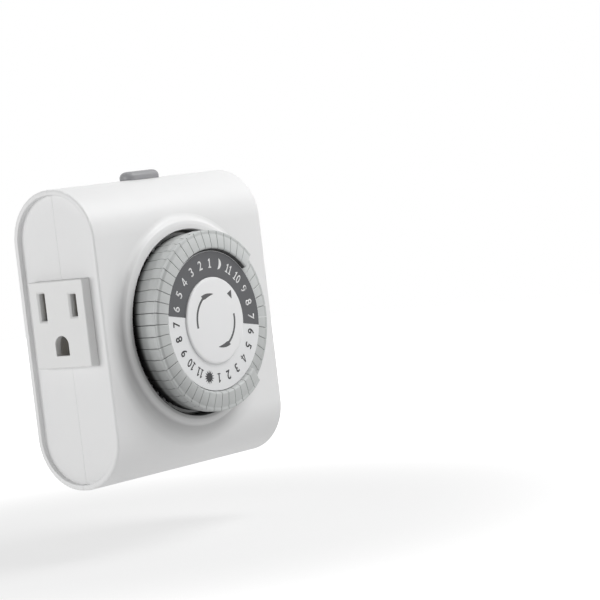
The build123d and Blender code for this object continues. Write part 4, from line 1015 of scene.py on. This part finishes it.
# The tappets' grey, with painted shade that goes to near black.
tappet_grey = tappet_plastic("tappet_grey", (0.54, 0.555, 0.55), (0.01, 0.01, 0.01))
row_tree, row_inputs = tappet_row_tree()
blank = tappet_blank()
for hour in range(24):
    row = blank.modifiers.new("row", "NODES")
    row.node_group = row_tree
    pushed = TAPPET_TRAVEL if FIRST_PUSHED <= hour <= LAST_PUSHED else 0.0
    row[row_inputs["Count"]] = 2
    row[row_inputs["First Turn"]] = radians(DIAL_TURN + (2 * hour + 0.5) * STEP_ANGLE)
    row[row_inputs["Step Turn"]] = radians(STEP_ANGLE)
    row[row_inputs["Pushed In"]] = pushed
    row[row_inputs["Finish"]] = tappet_grey
    pair = bpy.data.objects.new(f"tappets_{hour:02d}", as_made(blank))
    scene.collection.objects.link(pair)
    blank.modifiers.remove(row)
    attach(pair, f"hour_{hour:02d}")
    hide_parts(f"hour_tappets_{hour:02d}")
bpy.data.objects.remove(blank)

# ------------------------------------------------------------
# The hub cap: a slightly domed disc of white plastic on the centre post, printed with
# a pointer for the present time and two arrows for the way the dial turns.

HUB_R, HUB_FRONT_Y, HUB_BACK_Y = 0.0133, -0.0431, -0.04245
POST_R = 0.0035
HUB_DOME = 0.00012
HUB_CROWN = ((0.0, 0.0), (0.0060, 0.25), (0.0095, 0.6), (0.0120, 1.0))
HUB_EDGE = ((0.00060, 0.00003), (0.00028, 0.00010), (0.00008, 0.00025), (0.0, 0.00045))
HUB_STEPS, HUB_SHARP_OVER = 128, 40.0
POINTER, POINTER_R = ((0.01216, 45.8), (0.01000, 41.3), (0.01029, 56.1)), 0.0112
ARROW_R, ARROW_HALF_T, ARROW_STEPS = 0.00874, 0.00037, 24
HEAD_OUTSIDE = ((-0.02, 0.00105), (0.15, 0.00080), (0.33, 0.00053), (0.50, 0.00022), (0.65, -0.00004),
                (0.82, -0.00030), (1.0, -0.00060))
HEAD_INSIDE = ((0.80, -0.00080), (0.57, -0.00088), (0.35, -0.00085), (0.15, -0.00078), (0.0, -0.00042))

hub_white = moulded_plastic("hub_white", (0.84, 0.84, 0.845), 0.34, 0.04)
hub_profile = [(radius, HUB_FRONT_Y + HUB_DOME * share) for radius, share in HUB_CROWN]
hub_profile += [(HUB_R - inset, HUB_FRONT_Y + HUB_DOME + drop) for inset, drop in HUB_EDGE]
hub_profile += [(HUB_R, HUB_BACK_Y), (POST_R, HUB_BACK_Y), (POST_R, FACE_Y), (0.0, FACE_Y)]
hub = turned("hub_disc", hub_profile, steps=HUB_STEPS)
smooth(hub, HUB_SHARP_OVER)
wear(hub, hub_white, "case", "hub_plastic", "hub_cap")


def hub_height(radius):
    """Where the domed front of the cap is at a radius."""
    for (near, low), (far, high) in zip(hub_profile, hub_profile[1:]):
        if near <= radius <= far:
            return low + (high - low) * (radius - near) / (far - near)
    return HUB_FRONT_Y


def turn_arrow(name, tail, foot, tip):
    """A thin arc with a long curved head, running clockwise: its barb is on the outside, its tip turns in."""
    sweep = tip - foot
    outline = arc(ARROW_R + ARROW_HALF_T, tail, foot, ARROW_STEPS)
    outline += [(ARROW_R + out, foot + sweep * share) for share, out in HEAD_OUTSIDE]
    outline += [(ARROW_R + out, foot + sweep * share) for share, out in HEAD_INSIDE]
    outline += arc(ARROW_R - ARROW_HALF_T, foot, tail, ARROW_STEPS)
    return ink_patch(name, outline, hub_height(ARROW_R))


hub_ink = print_ink("hub_ink", (0.085, 0.085, 0.088))
lay_ink(turn_arrow("turn_arrow_up", -99.5, -35.0, 0.8), hub_ink, "case")
lay_ink(turn_arrow("turn_arrow_down", 82.5, 146.0, 182.0), hub_ink, "case")
lay_ink(ink_patch("time_pointer", POINTER, hub_height(POINTER_R)), hub_ink, "case")
